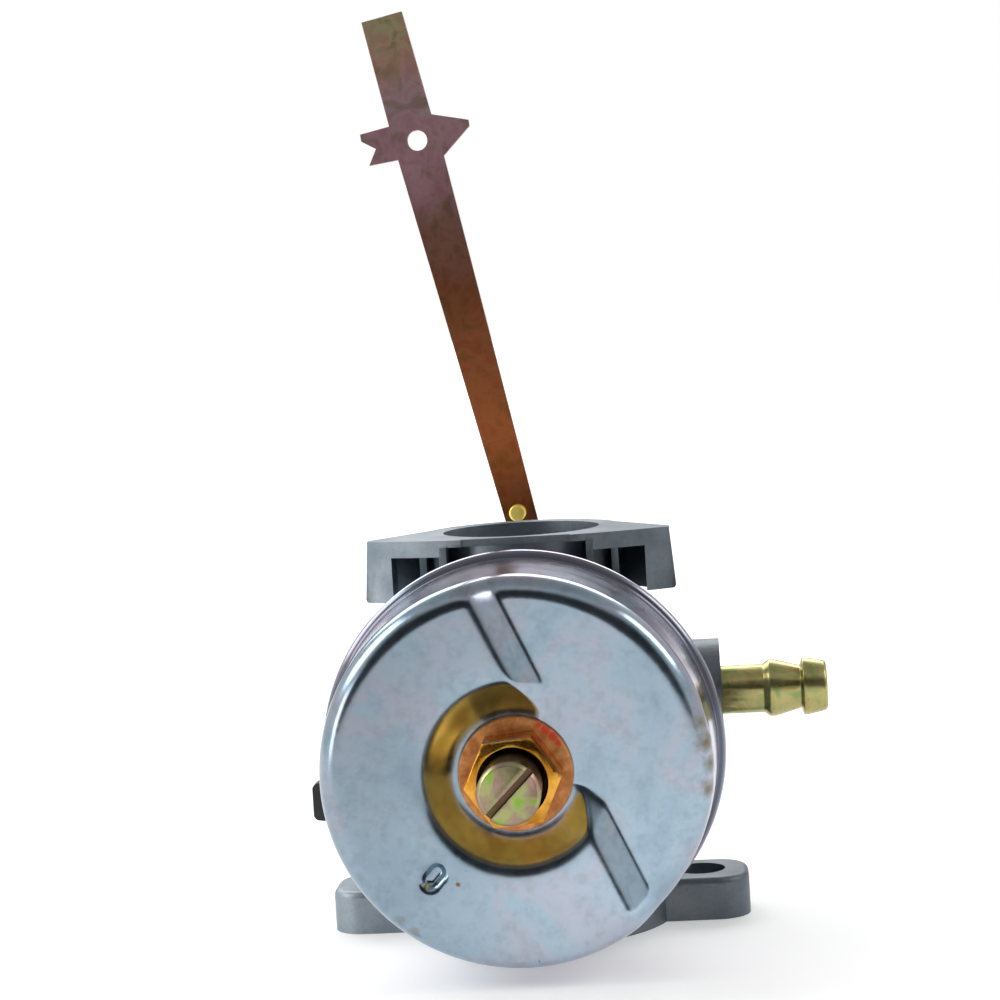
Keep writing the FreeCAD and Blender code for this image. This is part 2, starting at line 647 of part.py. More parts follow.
def drilled_cuts():
    """Holes for the shafts, screws, jets, needle seat, fuel and float pin."""
    running_r = SHAFT_R + RUNNING_GAP
    screw_clear_r = SCREW_R + SCREW_GAP
    choke_low = Vector(0, SHAFT_BOTTOM_Y - SHAFT_END_GAP, CHOKE_Z)
    choke_high = Vector(0, CHOKE_BOSS_TOP_Y + CUT_OVER, CHOKE_Z)
    throttle_low = Vector(0, THROTTLE_SHAFT_BOTTOM_Y - SHAFT_END_GAP, THROTTLE_Z)
    throttle_high = Vector(0, THROTTLE_BOSS_TOP_Y + CUT_OVER, THROTTLE_Z)
    detent_start = Vector(SHAFT_R, DETENT_Y, CHOKE_Z)
    detent_end = Vector(DETENT_HOUSING_X - DETENT_WALL, DETENT_Y, CHOKE_Z)
    idle_low = Vector(IDLE_X, IDLE_Y, IDLE_BOSS_LOW_Z - CUT_OVER)
    idle_high = Vector(IDLE_X, IDLE_Y, IDLE_BOSS_HIGH_Z + CUT_OVER)
    plug_seat = Vector(PLUG_SEAT_X, PLUG_Y, PLUG_Z)
    plug_open = Vector(PLUG_BOSS_X + CUT_OVER, PLUG_Y, PLUG_Z)
    pin_half = LUG_HALF_SPAN + CUT_OVER
    cuts = [
        cylinder(COLUMN_THREAD_R, on_bowl_axis(COLUMN_END_Y - CUT_OVER), on_bowl_axis(COLUMN_THREAD_TOP_Y)),
        cylinder(WELL_R, on_bowl_axis(COLUMN_THREAD_TOP_Y - CUT_OVER), on_bowl_axis(0)),
        cylinder(running_r, choke_low, choke_high),
        cylinder(running_r, throttle_low, throttle_high),
        cylinder(DETENT_BALL_R + DETENT_BORE_GAP, detent_start, detent_end),
        cylinder(PASSAGE_R, on_fuel_line(NEEDLE_X), on_fuel_line(BARB_SHANK_X)),
        cylinder(BARB_SHANK_R, on_fuel_line(BARB_SHANK_X), on_fuel_line(INLET_BOSS_END_X + CUT_OVER)),
        cylinder(SEAT_OUTER_R, at_needle(SEAT_TOP_Y), at_needle(SEAT_POCKET_LOW_Y)),
        cylinder(screw_clear_r, idle_low, idle_high),
        cylinder(screw_clear_r, at_mixture(MIXTURE_BOSS_X - CUT_OVER), at_mixture(MIXTURE_SEAT_X)),
        cylinder(MIXTURE_PORT_R, at_mixture(MIXTURE_SEAT_X), at_mixture(MIXTURE_PORT_X)),
        cylinder(PILOT_SHANK_R + RUNNING_GAP, at_pilot(PILOT_SHANK_END_Y),
                 at_pilot(PILOT_BOSS_TOP_Y + CUT_OVER)),
        cylinder(PLUG_R, plug_seat, plug_open),
        cylinder(FLOAT_PIN_R, on_hinge(-pin_half), on_hinge(pin_half)),
    ]
    for side in (-1, 1):
        low = Vector(side * STUD_SPACING / 2, 0, -CUT_OVER)
        high = Vector(side * STUD_SPACING / 2, 0, ENGINE_FLANGE_T + CUT_OVER)
        cuts.append(cylinder(STUD_HOLE_R, low, high))
    return cuts


def body_casting():
    barrel = cylinder(BARREL_R, Vector(0, 0, 0), Vector(0, 0, BODY_LENGTH))
    body = join(float_chamber_head(), barrel, engine_flange(), inlet_flange(), *body_lumps())
    notch = block(-NOTCH_HALF_WIDTH, NOTCH_HALF_WIDTH, INLET_FRONT_MID_Y - CUT_OVER, NOTCH_Y,
                  RIB_TOP_Z, BODY_LENGTH + CUT_OVER)
    for cut in [neck_recess(), notch] + bore_cuts() + drilled_cuts():
        body = body.cut(cut)
    return body.removeSplitter()


# ---- float bowl ----

def dimple(grow):
    """Oblong pocket pressed into the deep side of the bowl bottom."""
    half = (DIMPLE_LENGTH - DIMPLE_WIDTH) / 2
    radius = DIMPLE_WIDTH / 2 + DIMPLE_LIP + grow
    low_y = BOWL_DEEP_Y - CUT_OVER
    top_y = BOWL_DEEP_Y + DIMPLE_DEPTH + grow
    turn = math.radians(DIMPLE_ANGLE)
    along = Vector(math.cos(turn), 0, math.sin(turn))
    ends = []
    for side in (-1, 1):
        spot = Vector(DIMPLE_X, 0, DIMPLE_Z).add(Vector(along).multiply(side * half))
        low = Vector(spot.x, low_y, spot.z)
        ends.append(cone(radius, radius - DIMPLE_DRAFT, low, Vector(spot.x, top_y, spot.z)))
    hull = []
    for y, r in ((low_y, radius), (top_y, radius - DIMPLE_DRAFT)):
        across = Vector(-along.z * r, 0, along.x * r)
        near = Vector(DIMPLE_X, y, DIMPLE_Z).sub(Vector(along).multiply(half))
        far = Vector(DIMPLE_X, y, DIMPLE_Z).add(Vector(along).multiply(half))
        corners = [near.add(across), far.add(across), far.sub(across), near.sub(across)]
        hull.append(Part.makePolygon(corners + [corners[0]]))
    middle = Part.makeLoft(hull, True, True)
    return join(ends[0], ends[1], middle)


def cup(bottom_y, grow):
    """Round cup about the bowl axis; grow is the sheet thickness for the inner skin."""
    top_y = HEAD_FACE_Y - GASKET_T
    top_r = WALL_TOP_R - grow
    floor_y = bottom_y + grow
    low_r = WALL_LOW_R - grow
    shape = cone(top_r, low_r, on_bowl_axis(top_y), on_bowl_axis(floor_y))
    edge = [e for e in shape.Edges if e.BoundBox.YMax < floor_y + 0.1]
    return shape.makeFillet(BOWL_EDGE_R - grow, edge)


def bowl_form(grow):
    """Stepped bowl bottom: a deep side and a shallow side joined by a straight ramp."""
    turn = math.radians(RAMP_ANGLE)
    across = Vector(math.cos(turn), 0, math.sin(turn))
    along = Vector(-math.sin(turn), 0, math.cos(turn))
    reach = 2 * WALL_TOP_R
    start = on_bowl_axis(0).sub(Vector(along).multiply(reach))

    def spot(offset, y):
        base = start.add(Vector(across).multiply(offset))
        return Vector(base.x, y, base.z)

    shallow_y = BOWL_SHALLOW_Y + grow
    rise = BOWL_SHALLOW_Y - BOWL_DEEP_Y
    slope = (RAMP_TOP_OFFSET - RAMP_LOW_OFFSET) / rise
    inset = grow * SLOPE_INSET
    high_y = BOWL_SHALLOW_Y + CUT_FAR
    low_y = BOWL_DEEP_Y - CUT_FAR
    high_offset = RAMP_TOP_OFFSET - inset + slope * (high_y - shallow_y)
    low_offset = RAMP_TOP_OFFSET - inset + slope * (low_y - shallow_y)
    outline = [
        spot(-reach, high_y),
        spot(high_offset, high_y),
        spot(low_offset, low_y),
        spot(-reach, low_y),
    ]
    deep_side = prism(outline, Vector(along).multiply(2 * reach))
    pad_slope = (PAD_WALL_R - PAD_R) / rise
    pad_low_r = PAD_R + inset + pad_slope * (shallow_y - low_y)
    pad = cone(PAD_R + inset, pad_low_r, on_bowl_axis(shallow_y), on_bowl_axis(low_y))
    below = block(-reach, reach, low_y, shallow_y, BOWL_Z - reach, BOWL_Z + reach)
    deep = cup(BOWL_DEEP_Y, grow).common(below).common(deep_side).cut(pad).cut(dimple(grow))
    shallow = cup(BOWL_SHALLOW_Y, grow)
    side = cup(BOWL_DEEP_Y, grow).cut(below)
    return join(shallow, side, deep)


def float_bowl():
    outer = bowl_form(0.0)
    top_y = HEAD_FACE_Y - GASKET_T
    bead = cylinder(BEAD_R, on_bowl_axis(top_y), on_bowl_axis(top_y - BEAD_T))
    bead = bead.makeFillet(BEAD_ROUND, [e for e in bead.Edges if e.Length > BEAD_R * 6])
    shell = join(outer, bead).cut(bowl_form(SHEET_T))
    hole = cylinder(BOWL_HOLE_R, on_bowl_axis(BOWL_SHALLOW_Y - CUT_OVER),
                    on_bowl_axis(BOWL_SHALLOW_Y + CUT_FAR))
    return shell.cut(hole).removeSplitter()


def bowl_gasket():
    return ring(GASKET_OUTER_R, GASKET_INNER_R,
                on_bowl_axis(HEAD_FACE_Y), on_bowl_axis(HEAD_FACE_Y - GASKET_T))


# ---- parts on the bowl axis ----

WASHER_LOW_Y = BOWL_SHALLOW_Y - WASHER_T
NUT_LOW_Y = WASHER_LOW_Y - NUT_HEIGHT
NUT_POCKET_Y = WASHER_LOW_Y - NUT_POCKET_FLOOR


def bowl_nut_washer():
    washer = ring(WASHER_R, WASHER_HOLE_R, on_bowl_axis(BOWL_SHALLOW_Y), on_bowl_axis(WASHER_LOW_Y))
    rim = [e for e in washer.Edges if e.Length > WASHER_R * 6 and e.BoundBox.YMax < WASHER_LOW_Y + 0.1]
    return washer.makeFillet(WASHER_ROUND, rim)


def bowl_nut():
    corner_r = NUT_AF / math.sqrt(3)
    corners = []
    for index in range(6):
        turn = math.radians(60 * index + NUT_TURN)
        corners.append(Vector(corner_r * math.cos(turn), WASHER_LOW_Y, BOWL_Z + corner_r * math.sin(turn)))
    head = prism(corners, Vector(0, -NUT_HEIGHT, 0))
    chamfer = cone(corner_r + NUT_HEIGHT * NUT_CHAMFER_STEEPNESS, NUT_AF / 2 - NUT_CHAMFER_INSET,
                   on_bowl_axis(WASHER_LOW_Y), on_bowl_axis(NUT_LOW_Y))
    head = head.common(chamfer)
    shank = cylinder(NUT_SHANK_R, on_bowl_axis(WASHER_LOW_Y), on_bowl_axis(NUT_SHANK_END_Y))
    nut = join(head, shank)
    nut = nut.cut(cylinder(NUT_POCKET_R, on_bowl_axis(NUT_LOW_Y - CUT_OVER), on_bowl_axis(NUT_POCKET_Y)))
    core = cylinder(NUT_CORE_R, on_bowl_axis(NUT_LOW_Y), on_bowl_axis(NUT_SHANK_END_Y + CUT_OVER))
    nut = nut.cut(core)
    port = cylinder(NUT_PORT_R, Vector(-COLUMN_R, NUT_PORT_Y, BOWL_Z), Vector(COLUMN_R, NUT_PORT_Y, BOWL_Z))
    return nut.cut(port).removeSplitter()


def drain_screw():
    under_y = NUT_POCKET_Y - DRAIN_WASHER_T
    edge_y = DRAIN_FACE_Y + DRAIN_EDGE
    barrel = cone(DRAIN_HEAD_R, DRAIN_FACE_R, on_bowl_axis(under_y), on_bowl_axis(edge_y))
    face_r = DRAIN_FACE_R - DRAIN_FACE_TAPER
    face = cone(DRAIN_FACE_R, face_r, on_bowl_axis(edge_y), on_bowl_axis(DRAIN_FACE_Y))
    shank = cylinder(DRAIN_SHANK_R, on_bowl_axis(under_y), on_bowl_axis(DRAIN_SHANK_END_Y))
    screw = join(barrel, face, shank)
    slot = block(-DRAIN_FACE_R - CUT_OVER, DRAIN_FACE_R + CUT_OVER,
                 DRAIN_FACE_Y - CUT_OVER, DRAIN_FACE_Y + DRAIN_SLOT_DEPTH,
                 -DRAIN_SLOT_W / 2, DRAIN_SLOT_W / 2)
    slot.rotate(Vector(0, 0, 0), Y_DIR, DRAIN_SLOT_TURN)
    slot.translate(Vector(0, 0, BOWL_Z))
    return screw.cut(slot)


def drain_washer():
    return ring(DRAIN_WASHER_R, DRAIN_SHANK_R + DRAIN_WASHER_GAP, on_bowl_axis(NUT_POCKET_Y),
                on_bowl_axis(NUT_POCKET_Y - DRAIN_WASHER_T))


def main_jet():
    body = ring(MAIN_JET_R, MAIN_JET_BORE_R, on_bowl_axis(MAIN_JET_TOP_Y), on_bowl_axis(MAIN_JET_LOW_Y))
    half_slot = PLATE_SCREW_SLOT / 2
    slot = block(-MAIN_JET_R, MAIN_JET_R, MAIN_JET_LOW_Y, MAIN_JET_LOW_Y + PLATE_SCREW_SLOT,
                 BOWL_Z - half_slot, BOWL_Z + half_slot)
    return body.cut(slot)


def emulsion_tube():
    tube = ring(TUBE_R, TUBE_BORE_R, on_bowl_axis(COLUMN_THREAD_TOP_Y), on_bowl_axis(TUBE_TOP_Y))
    for index in range(TUBE_HOLE_COUNT):
        y = TUBE_HOLE_FIRST_Y + TUBE_HOLE_PITCH * index
        tube = tube.cut(cylinder(TUBE_HOLE_R, Vector(-TUBE_R, y, BOWL_Z), Vector(TUBE_R, y, BOWL_Z)))
    return tube


# ---- float, needle, seat ----

def float_body():
    donut = ring(FLOAT_OUTER_R, FLOAT_INNER_R, on_bowl_axis(FLOAT_TOP_Y), on_bowl_axis(FLOAT_BOTTOM_Y))
    rims = [e for e in donut.Edges if e.Length > FLOAT_INNER_R * 6]
    donut = donut.makeFillet(FLOAT_ROUND, rims)
    knuckle = cylinder(FLOAT_KNUCKLE_R, on_hinge(-FLOAT_KNUCKLE_HALF), on_hinge(FLOAT_KNUCKLE_HALF))
    root_y = FLOAT_TOP_Y - FLOAT_ROOT_DEPTH
    tab_x = NEEDLE_X - FLOAT_TAB_REACH
    tab_top_y = NEEDLE_END_Y - FLOAT_TAB_GAP
    low_z = FUEL_Z - FLOAT_TAB_HALF
    high_z = FUEL_Z + FLOAT_TAB_HALF
    web = block(HINGE_X - FLOAT_WEB_INNER, HINGE_X + FLOAT_WEB_OUTER, root_y, HINGE_Y - FLOAT_WEB_DROP,
                low_z, high_z)
    tab = block(tab_x, HINGE_X, tab_top_y - FLOAT_TAB_T, tab_top_y, low_z, high_z)
    post = block(tab_x, HINGE_X, root_y, tab_top_y - FLOAT_TAB_T / 2,
                 FUEL_Z - FLOAT_POST_HALF, FUEL_Z + FLOAT_POST_HALF)
    whole = join(donut, knuckle, web, tab, post)
    pin_hole = cylinder(FLOAT_PIN_R + FLOAT_PIN_GAP, on_hinge(-LUG_HALF_SPAN), on_hinge(LUG_HALF_SPAN))
    return whole.cut(pin_hole)


def float_pin():
    return cylinder(FLOAT_PIN_R, on_hinge(-LUG_HALF_SPAN), on_hinge(LUG_HALF_SPAN))


def needle_seat():
    seat = cylinder(SEAT_OUTER_R, at_needle(SEAT_TOP_Y), at_needle(SEAT_END_Y))
    seat = seat.cut(cylinder(SEAT_GUIDE_R, at_needle(SEAT_STEP_Y), at_needle(SEAT_END_Y - CUT_OVER)))
    return seat.cut(cylinder(SEAT_ORIFICE_R, at_needle(SEAT_TOP_Y), at_needle(SEAT_STEP_Y)))


def inlet_needle():
    barrel = cylinder(NEEDLE_R, at_needle(NEEDLE_SHOULDER_Y), at_needle(NEEDLE_TAIL_Y))
    tip = cone(NEEDLE_R, NEEDLE_TIP_R, at_needle(NEEDLE_SHOULDER_Y), at_needle(NEEDLE_TIP_Y))
    tail = cone(NEEDLE_R, NEEDLE_TAIL_R, at_needle(NEEDLE_TAIL_Y), at_needle(NEEDLE_END_Y))
    needle = join(barrel, tip, tail)
    for index in range(3):
        flat = block(NEEDLE_X + NEEDLE_FLAT, NEEDLE_X + NEEDLE_R,
                     NEEDLE_TAIL_Y + NEEDLE_FLAT_MARGIN, NEEDLE_SHOULDER_Y - NEEDLE_FLAT_MARGIN,
                     FUEL_Z - NEEDLE_R, FUEL_Z + NEEDLE_R)
        flat.rotate(at_needle(0), Y_DIR, 120 * index)
        needle = needle.cut(flat)
    return needle


def fuel_inlet():
    """Turned hose barb with two ridges, pressed into the body boss."""
    root_x = BARB_SHANK_X + BARB_END_GAP
    profile = [
        (root_x, BARB_SHANK_R),
        (INLET_BOSS_END_X, BARB_SHANK_R),
        (INLET_BOSS_END_X, BARB_TUBE_R),
        (FIRST_RIDGE_X - RIDGE_LAND - RIDGE_RAMP, BARB_TUBE_R),
        (FIRST_RIDGE_X - RIDGE_LAND / 2, BARB_R),
        (FIRST_RIDGE_X + RIDGE_LAND / 2, BARB_R),
        (SECOND_RIDGE_X - RIDGE_LAND, BARB_WAIST_R),
        (SECOND_RIDGE_X - RIDGE_LAND / 2, BARB_R),
        (SECOND_RIDGE_X + RIDGE_LAND / 2, BARB_R),
        (BARB_TIP_X - BARB_TIP_CHAMFER, BARB_TIP_R),
        (BARB_TIP_X, BARB_TIP_R - BARB_TIP_CHAMFER),
    ]
    points = [on_fuel_line(root_x)]
    for x, radius in profile:
        points.append(on_fuel_line(x).add(Vector(0, 0, radius)))
    points.append(on_fuel_line(BARB_TIP_X))
    points.append(points[0])
    face = Part.Face(Part.makePolygon(points))
    barb = face.revolve(on_fuel_line(0), X_DIR, 360)
    return barb.cut(cylinder(BARB_BORE_R, on_fuel_line(BARB_SHANK_X), on_fuel_line(BARB_TIP_X + CUT_OVER)))


# ---- choke ----

def lever_spot(along, across, y):
    """Point on the choke lever, measured from its pivot along and across its length."""
    turn = math.radians(CHOKE_LEAN)
    x = -math.sin(turn) * along + math.cos(turn) * across
    z = math.cos(turn) * along + math.sin(turn) * across
    return Vector(x, y, CHOKE_Z + z)


def choke_lever():
    points = [lever_spot(along, across, CHOKE_LEVER_Y) for along, across in CHOKE_LEVER_OUTLINE]
    strip = prism(points, Vector(0, CHOKE_LEVER_T, 0))
    low = Vector(0, CHOKE_LEVER_Y, CHOKE_Z)
    high = Vector(0, CHOKE_LEVER_Y + CHOKE_LEVER_T, CHOKE_Z)
    lever = join(strip, cylinder(CHOKE_LEVER_HUB_R, low, high))
    drive = cylinder(SHAFT_R + DRIVE_GAP, low.sub(Y_DIR), high.add(Y_DIR))
    lever = lever.cut(drive)
    for along, across, radius in (
            (LEVER_HOLE_ALONG, LEVER_HOLE_ACROSS, LEVER_HOLE_R),
            (PIN_ALONG, PIN_ACROSS, PIN_SHANK_R)):
        start = lever_spot(along, across, CHOKE_LEVER_Y - CUT_OVER)
        end = lever_spot(along, across, CHOKE_LEVER_Y + CHOKE_LEVER_T + CUT_OVER)
        lever = lever.cut(cylinder(radius, start, end))
    return lever


def lever_pin():
    """Shouldered pin riveted through the choke lever."""
    near_y = CHOKE_LEVER_Y - PIN_LENGTH
    back_y = CHOKE_LEVER_Y + CHOKE_LEVER_T
    near = lever_spot(PIN_ALONG, PIN_ACROSS, near_y)
    face = lever_spot(PIN_ALONG, PIN_ACROSS, CHOKE_LEVER_Y)
    back = lever_spot(PIN_ALONG, PIN_ACROSS, back_y)
    top = lever_spot(PIN_ALONG, PIN_ACROSS, back_y + PIN_RIVET_T)
    post = cylinder(PIN_R, near, face)
    post = post.makeFillet(PIN_ROUND, [e for e in post.Edges if e.BoundBox.YMax < near_y + 0.1])
    rivet = cone(PIN_RIVET_R, PIN_RIVET_R - PIN_RIVET_T, back, top)
    return join(post, cylinder(PIN_SHANK_R, face, back), rivet)


def choke_shaft():
    shaft = butterfly_shaft(CHOKE_Z, SHAFT_BOTTOM_Y, CHOKE_SHAFT_TOP_Y, CHOKE_PLATE_R)
    collar = cylinder(CHOKE_COLLAR_R, Vector(0, CHOKE_LEVER_Y - CHOKE_COLLAR_T, CHOKE_Z),
                      Vector(0, CHOKE_LEVER_Y, CHOKE_Z))
    return join(shaft, collar)


def choke_plate():
    plate = butterfly_plate(CHOKE_PLATE_R, CHOKE_Z)
    near = Vector(CHOKE_RELIEF_X, 0, CHOKE_Z)
    far = Vector(CHOKE_RELIEF_X, 0, CHOKE_Z + PLATE_T)
    return plate.cut(cylinder(CHOKE_RELIEF_R, near, far))


def choke_detent_ball():
    centre_x = SHAFT_R + DETENT_BALL_R + DETENT_BALL_GAP
    return Part.makeSphere(DETENT_BALL_R, Vector(centre_x, DETENT_Y, CHOKE_Z))


def choke_detent_spring():
    start = Vector(SHAFT_R + 2 * DETENT_BALL_R + 2 * DETENT_BALL_GAP, DETENT_Y, CHOKE_Z)
    end = Vector(DETENT_HOUSING_X - DETENT_WALL - DETENT_BALL_GAP, DETENT_Y, CHOKE_Z)
    return spring(DETENT_COIL_R, DETENT_WIRE_R, start, end, DETENT_SPRING_TURNS)


# ---- throttle ----

def throttle_shaft():
    return butterfly_shaft(THROTTLE_Z, THROTTLE_SHAFT_BOTTOM_Y, THROTTLE_SHAFT_TOP_Y, THROTTLE_PLATE_R)


def throttle_plate():
    return butterfly_plate(THROTTLE_PLATE_R, THROTTLE_Z)


def throttle_lever():
    """Moulded lever: a tapered arm one way and a stop arm the other."""
    low_y = THROTTLE_LEVER_Y
    high_y = THROTTLE_LEVER_Y + THROTTLE_LEVER_T
    hub_low_y = low_y - THROTTLE_HUB_STEP
    cut_low_y = low_y - CUT_OVER
    cut_high_y = high_y + CUT_OVER
    hub = cylinder(THROTTLE_HUB_R, Vector(0, hub_low_y, THROTTLE_Z), Vector(0, high_y, THROTTLE_Z))
    arm = prism([
        Vector(0, low_y, THROTTLE_Z - THROTTLE_ARM_ROOT_HALF),
        Vector(0, low_y, THROTTLE_Z + THROTTLE_ARM_ROOT_HALF),
        Vector(THROTTLE_END_X, low_y, THROTTLE_END_Z + THROTTLE_END_HALF),
        Vector(THROTTLE_END_X, low_y, THROTTLE_END_Z - THROTTLE_END_HALF),
    ], Vector(0, THROTTLE_LEVER_T, 0))
    tip = [e for e in arm.Edges if e.BoundBox.XMax < THROTTLE_END_X + 0.1 and e.BoundBox.ZLength < 0.1]
    arm = arm.makeFillet(THROTTLE_END_ROUND, tip)
    stop = block(0, STOP_ARM_X, low_y, high_y, STOP_ARM_TOP_Z - STOP_ARM_HEIGHT, STOP_ARM_TOP_Z)
    lever = join(hub, arm, stop)
    drive_low = Vector(0, hub_low_y - CUT_OVER, THROTTLE_Z)
    cuts = [cylinder(SHAFT_R + DRIVE_GAP, drive_low, Vector(0, cut_high_y, THROTTLE_Z))]
    for x, radius in THROTTLE_LINK_HOLES:
        hole_low = Vector(x, cut_low_y, THROTTLE_END_Z)
        cuts.append(cylinder(radius, hole_low, Vector(x, cut_high_y, THROTTLE_END_Z)))
    near_x, far_x = THROTTLE_WINDOW_X
    near_half, far_half = THROTTLE_WINDOW_HALF
    far_z = THROTTLE_Z + THROTTLE_WINDOW_DRIFT
    cuts.append(prism([
        Vector(near_x, cut_low_y, THROTTLE_Z - near_half),
        Vector(near_x, cut_low_y, THROTTLE_Z + near_half),
        Vector(far_x, cut_low_y, far_z + far_half),
        Vector(far_x, cut_low_y, far_z - far_half),
    ], Vector(0, cut_high_y - cut_low_y, 0)))
    for cut in cuts:
        lever = lever.cut(cut)
    return lever.removeSplitter()


def throttle_lever_screw():
    lever_y = THROTTLE_LEVER_Y + THROTTLE_LEVER_T
    head_y = THROTTLE_SHAFT_TOP_Y + LEVER_SCREW_HEAD_T
    base = Vector(0, THROTTLE_SHAFT_TOP_Y, THROTTLE_Z)
    head = cylinder(LEVER_SCREW_R, base, Vector(0, head_y, THROTTLE_Z))
    skirt = ring(LEVER_SCREW_R, SHAFT_R, Vector(0, lever_y, THROTTLE_Z), base)
    slot = block(-LEVER_SCREW_R, LEVER_SCREW_R, head_y - LEVER_SCREW_SLOT_DEPTH, head_y,
                 THROTTLE_Z - SLOT_W / 2, THROTTLE_Z + SLOT_W / 2)
    return join(head, skirt).cut(slot)


# ---- adjusting screws ----

def idle_speed_screw():
    spot = Vector(IDLE_X, IDLE_Y, IDLE_TIP_Z)
    neck = Vector(IDLE_X, IDLE_Y, IDLE_TIP_Z + IDLE_TIP_LENGTH)
    seat = Vector(IDLE_X, IDLE_Y, IDLE_HEAD_Z)
    top = Vector(IDLE_X, IDLE_Y, IDLE_HEAD_Z + SCREW_HEAD_T)
    thread = cylinder(SCREW_R, neck, seat)
    screw = join(cone(IDLE_TIP_R, SCREW_R, spot, neck), thread, cylinder(SCREW_HEAD_R, seat, top))
    slot = block(IDLE_X - SCREW_HEAD_R, IDLE_X + SCREW_HEAD_R,
                 IDLE_Y - SCREW_SLOT_W / 2, IDLE_Y + SCREW_SLOT_W / 2,
                 top.z - SCREW_SLOT_DEPTH, top.z)
    return screw.cut(slot)


def idle_speed_spring():
    return spring(SPRING_R, SPRING_WIRE_R, Vector(IDLE_X, IDLE_Y, IDLE_BOSS_HIGH_Z),
                  Vector(IDLE_X, IDLE_Y, IDLE_HEAD_Z), IDLE_SPRING_TURNS)


def mixture_screw():
    needle = cone(MIXTURE_NEEDLE_ROOT_R, MIXTURE_NEEDLE_TIP_R,
                  at_mixture(MIXTURE_SEAT_X), at_mixture(MIXTURE_NEEDLE_X))
    thread = cylinder(SCREW_R, at_mixture(MIXTURE_SEAT_X), at_mixture(MIXTURE_HEAD_X))
    low_x = MIXTURE_HEAD_X - SCREW_HEAD_T
    head = cylinder(SCREW_HEAD_R, at_mixture(MIXTURE_HEAD_X), at_mixture(low_x))
    screw = join(needle, thread, head)
    slot = block(low_x, low_x + SCREW_SLOT_DEPTH, MIXTURE_Y - SCREW_HEAD_R, MIXTURE_Y + SCREW_HEAD_R,
                 MIXTURE_Z - SCREW_SLOT_W / 2, MIXTURE_Z + SCREW_SLOT_W / 2)
    return screw.cut(slot)


def mixture_spring():
    return spring(SPRING_R, SPRING_WIRE_R, at_mixture(MIXTURE_BOSS_X), at_mixture(MIXTURE_HEAD_X),
                  MIXTURE_SPRING_TURNS)


# ---- pilot jet and sealing plug ----

def pilot_jet():
    shank = cylinder(PILOT_SHANK_R, at_pilot(PILOT_SHANK_END_Y), at_pilot(PILOT_BOSS_TOP_Y))
    head = cylinder(PILOT_HEAD_R, at_pilot(PILOT_BOSS_TOP_Y), at_pilot(PILOT_HEAD_TOP_Y))
    slot = block(PILOT_X - PILOT_HEAD_R, PILOT_X + PILOT_HEAD_R,
                 PILOT_HEAD_TOP_Y - SCREW_SLOT_DEPTH, PILOT_HEAD_TOP_Y,
                 PILOT_Z - SLOT_W / 2, PILOT_Z + SLOT_W / 2)
    bore_end = at_pilot(PILOT_SHANK_END_Y + PILOT_BORE_DEPTH)
    bore = cylinder(PILOT_BORE_R, at_pilot(PILOT_SHANK_END_Y), bore_end)
    return join(shank, head).cut(slot).cut(bore)


def welch_plug():
    """Domed sealing cup pressed into its seat beside the throttle bore."""
    rim_x = PLUG_SEAT_X + PLUG_T
    disc = cylinder(PLUG_R, Vector(PLUG_SEAT_X, PLUG_Y, PLUG_Z), Vector(rim_x, PLUG_Y, PLUG_Z))
    sink = math.sqrt(PLUG_DOME_R ** 2 - PLUG_R ** 2)
    ball = Part.makeSphere(PLUG_DOME_R, Vector(rim_x - sink, PLUG_Y, PLUG_Z))
    cap = ball.common(block(rim_x, rim_x + PLUG_R, PLUG_Y - PLUG_R, PLUG_Y + PLUG_R,
                            PLUG_Z - PLUG_R, PLUG_Z + PLUG_R))
    return join(disc, cap)


PIECES = {
    "body_casting": body_casting,
    "float_bowl": float_bowl,
    "bowl_gasket": bowl_gasket,
    "bowl_nut_washer": bowl_nut_washer,
    "bowl_nut": bowl_nut,
    "drain_screw": drain_screw,
    "drain_washer": drain_washer,
    "main_jet": main_jet,
    "emulsion_tube": emulsion_tube,
    "pilot_jet": pilot_jet,
    "welch_plug": welch_plug,
    "needle_seat": needle_seat,
    "inlet_needle": inlet_needle,
    "float": float_body,
    "float_pin": float_pin,
    "fuel_inlet": fuel_inlet,
    "choke_shaft": choke_shaft,
    "choke_plate": choke_plate,
    "choke_plate_screws": lambda: plate_screws(CHOKE_Z, CHOKE_Z + PLATE_T),
    "choke_lever": choke_lever,
    "lever_pin": lever_pin,
    "choke_detent_ball": choke_detent_ball,
    "choke_detent_spring": choke_detent_spring,
    "choke_shaft_seal": lambda: shaft_seal(CHOKE_Z, CHOKE_BOSS_TOP_Y),
    "throttle_shaft": throttle_shaft,
    "throttle_plate": throttle_plate,
    "throttle_plate_screws": lambda: plate_screws(THROTTLE_Z, THROTTLE_Z + PLATE_T),
    "throttle_lever": throttle_lever,
    "throttle_lever_screw": throttle_lever_screw,
    "throttle_shaft_seal": lambda: shaft_seal(THROTTLE_Z, THROTTLE_BOSS_TOP_Y),
    "idle_speed_screw": idle_speed_screw,
    "idle_speed_spring": idle_speed_spring,
    "mixture_screw": mixture_screw,
    "mixture_spring": mixture_spring,
}

os.makedirs("parts", exist_ok=True)
for name, build in PIECES.items():
    shape = build()
    shape.exportStep("parts/" + name + ".step")
    box = shape.BoundBox
    print(name, shape.isValid(), len(shape.Solids), round(shape.Volume, 1),
          [round(v, 2) for v in (box.XMin, box.XMax, box.YMin, box.YMax, box.ZMin, box.ZMax)])
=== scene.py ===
import json
import math

import bmesh
import bpy
from mathutils import Matrix, Vector


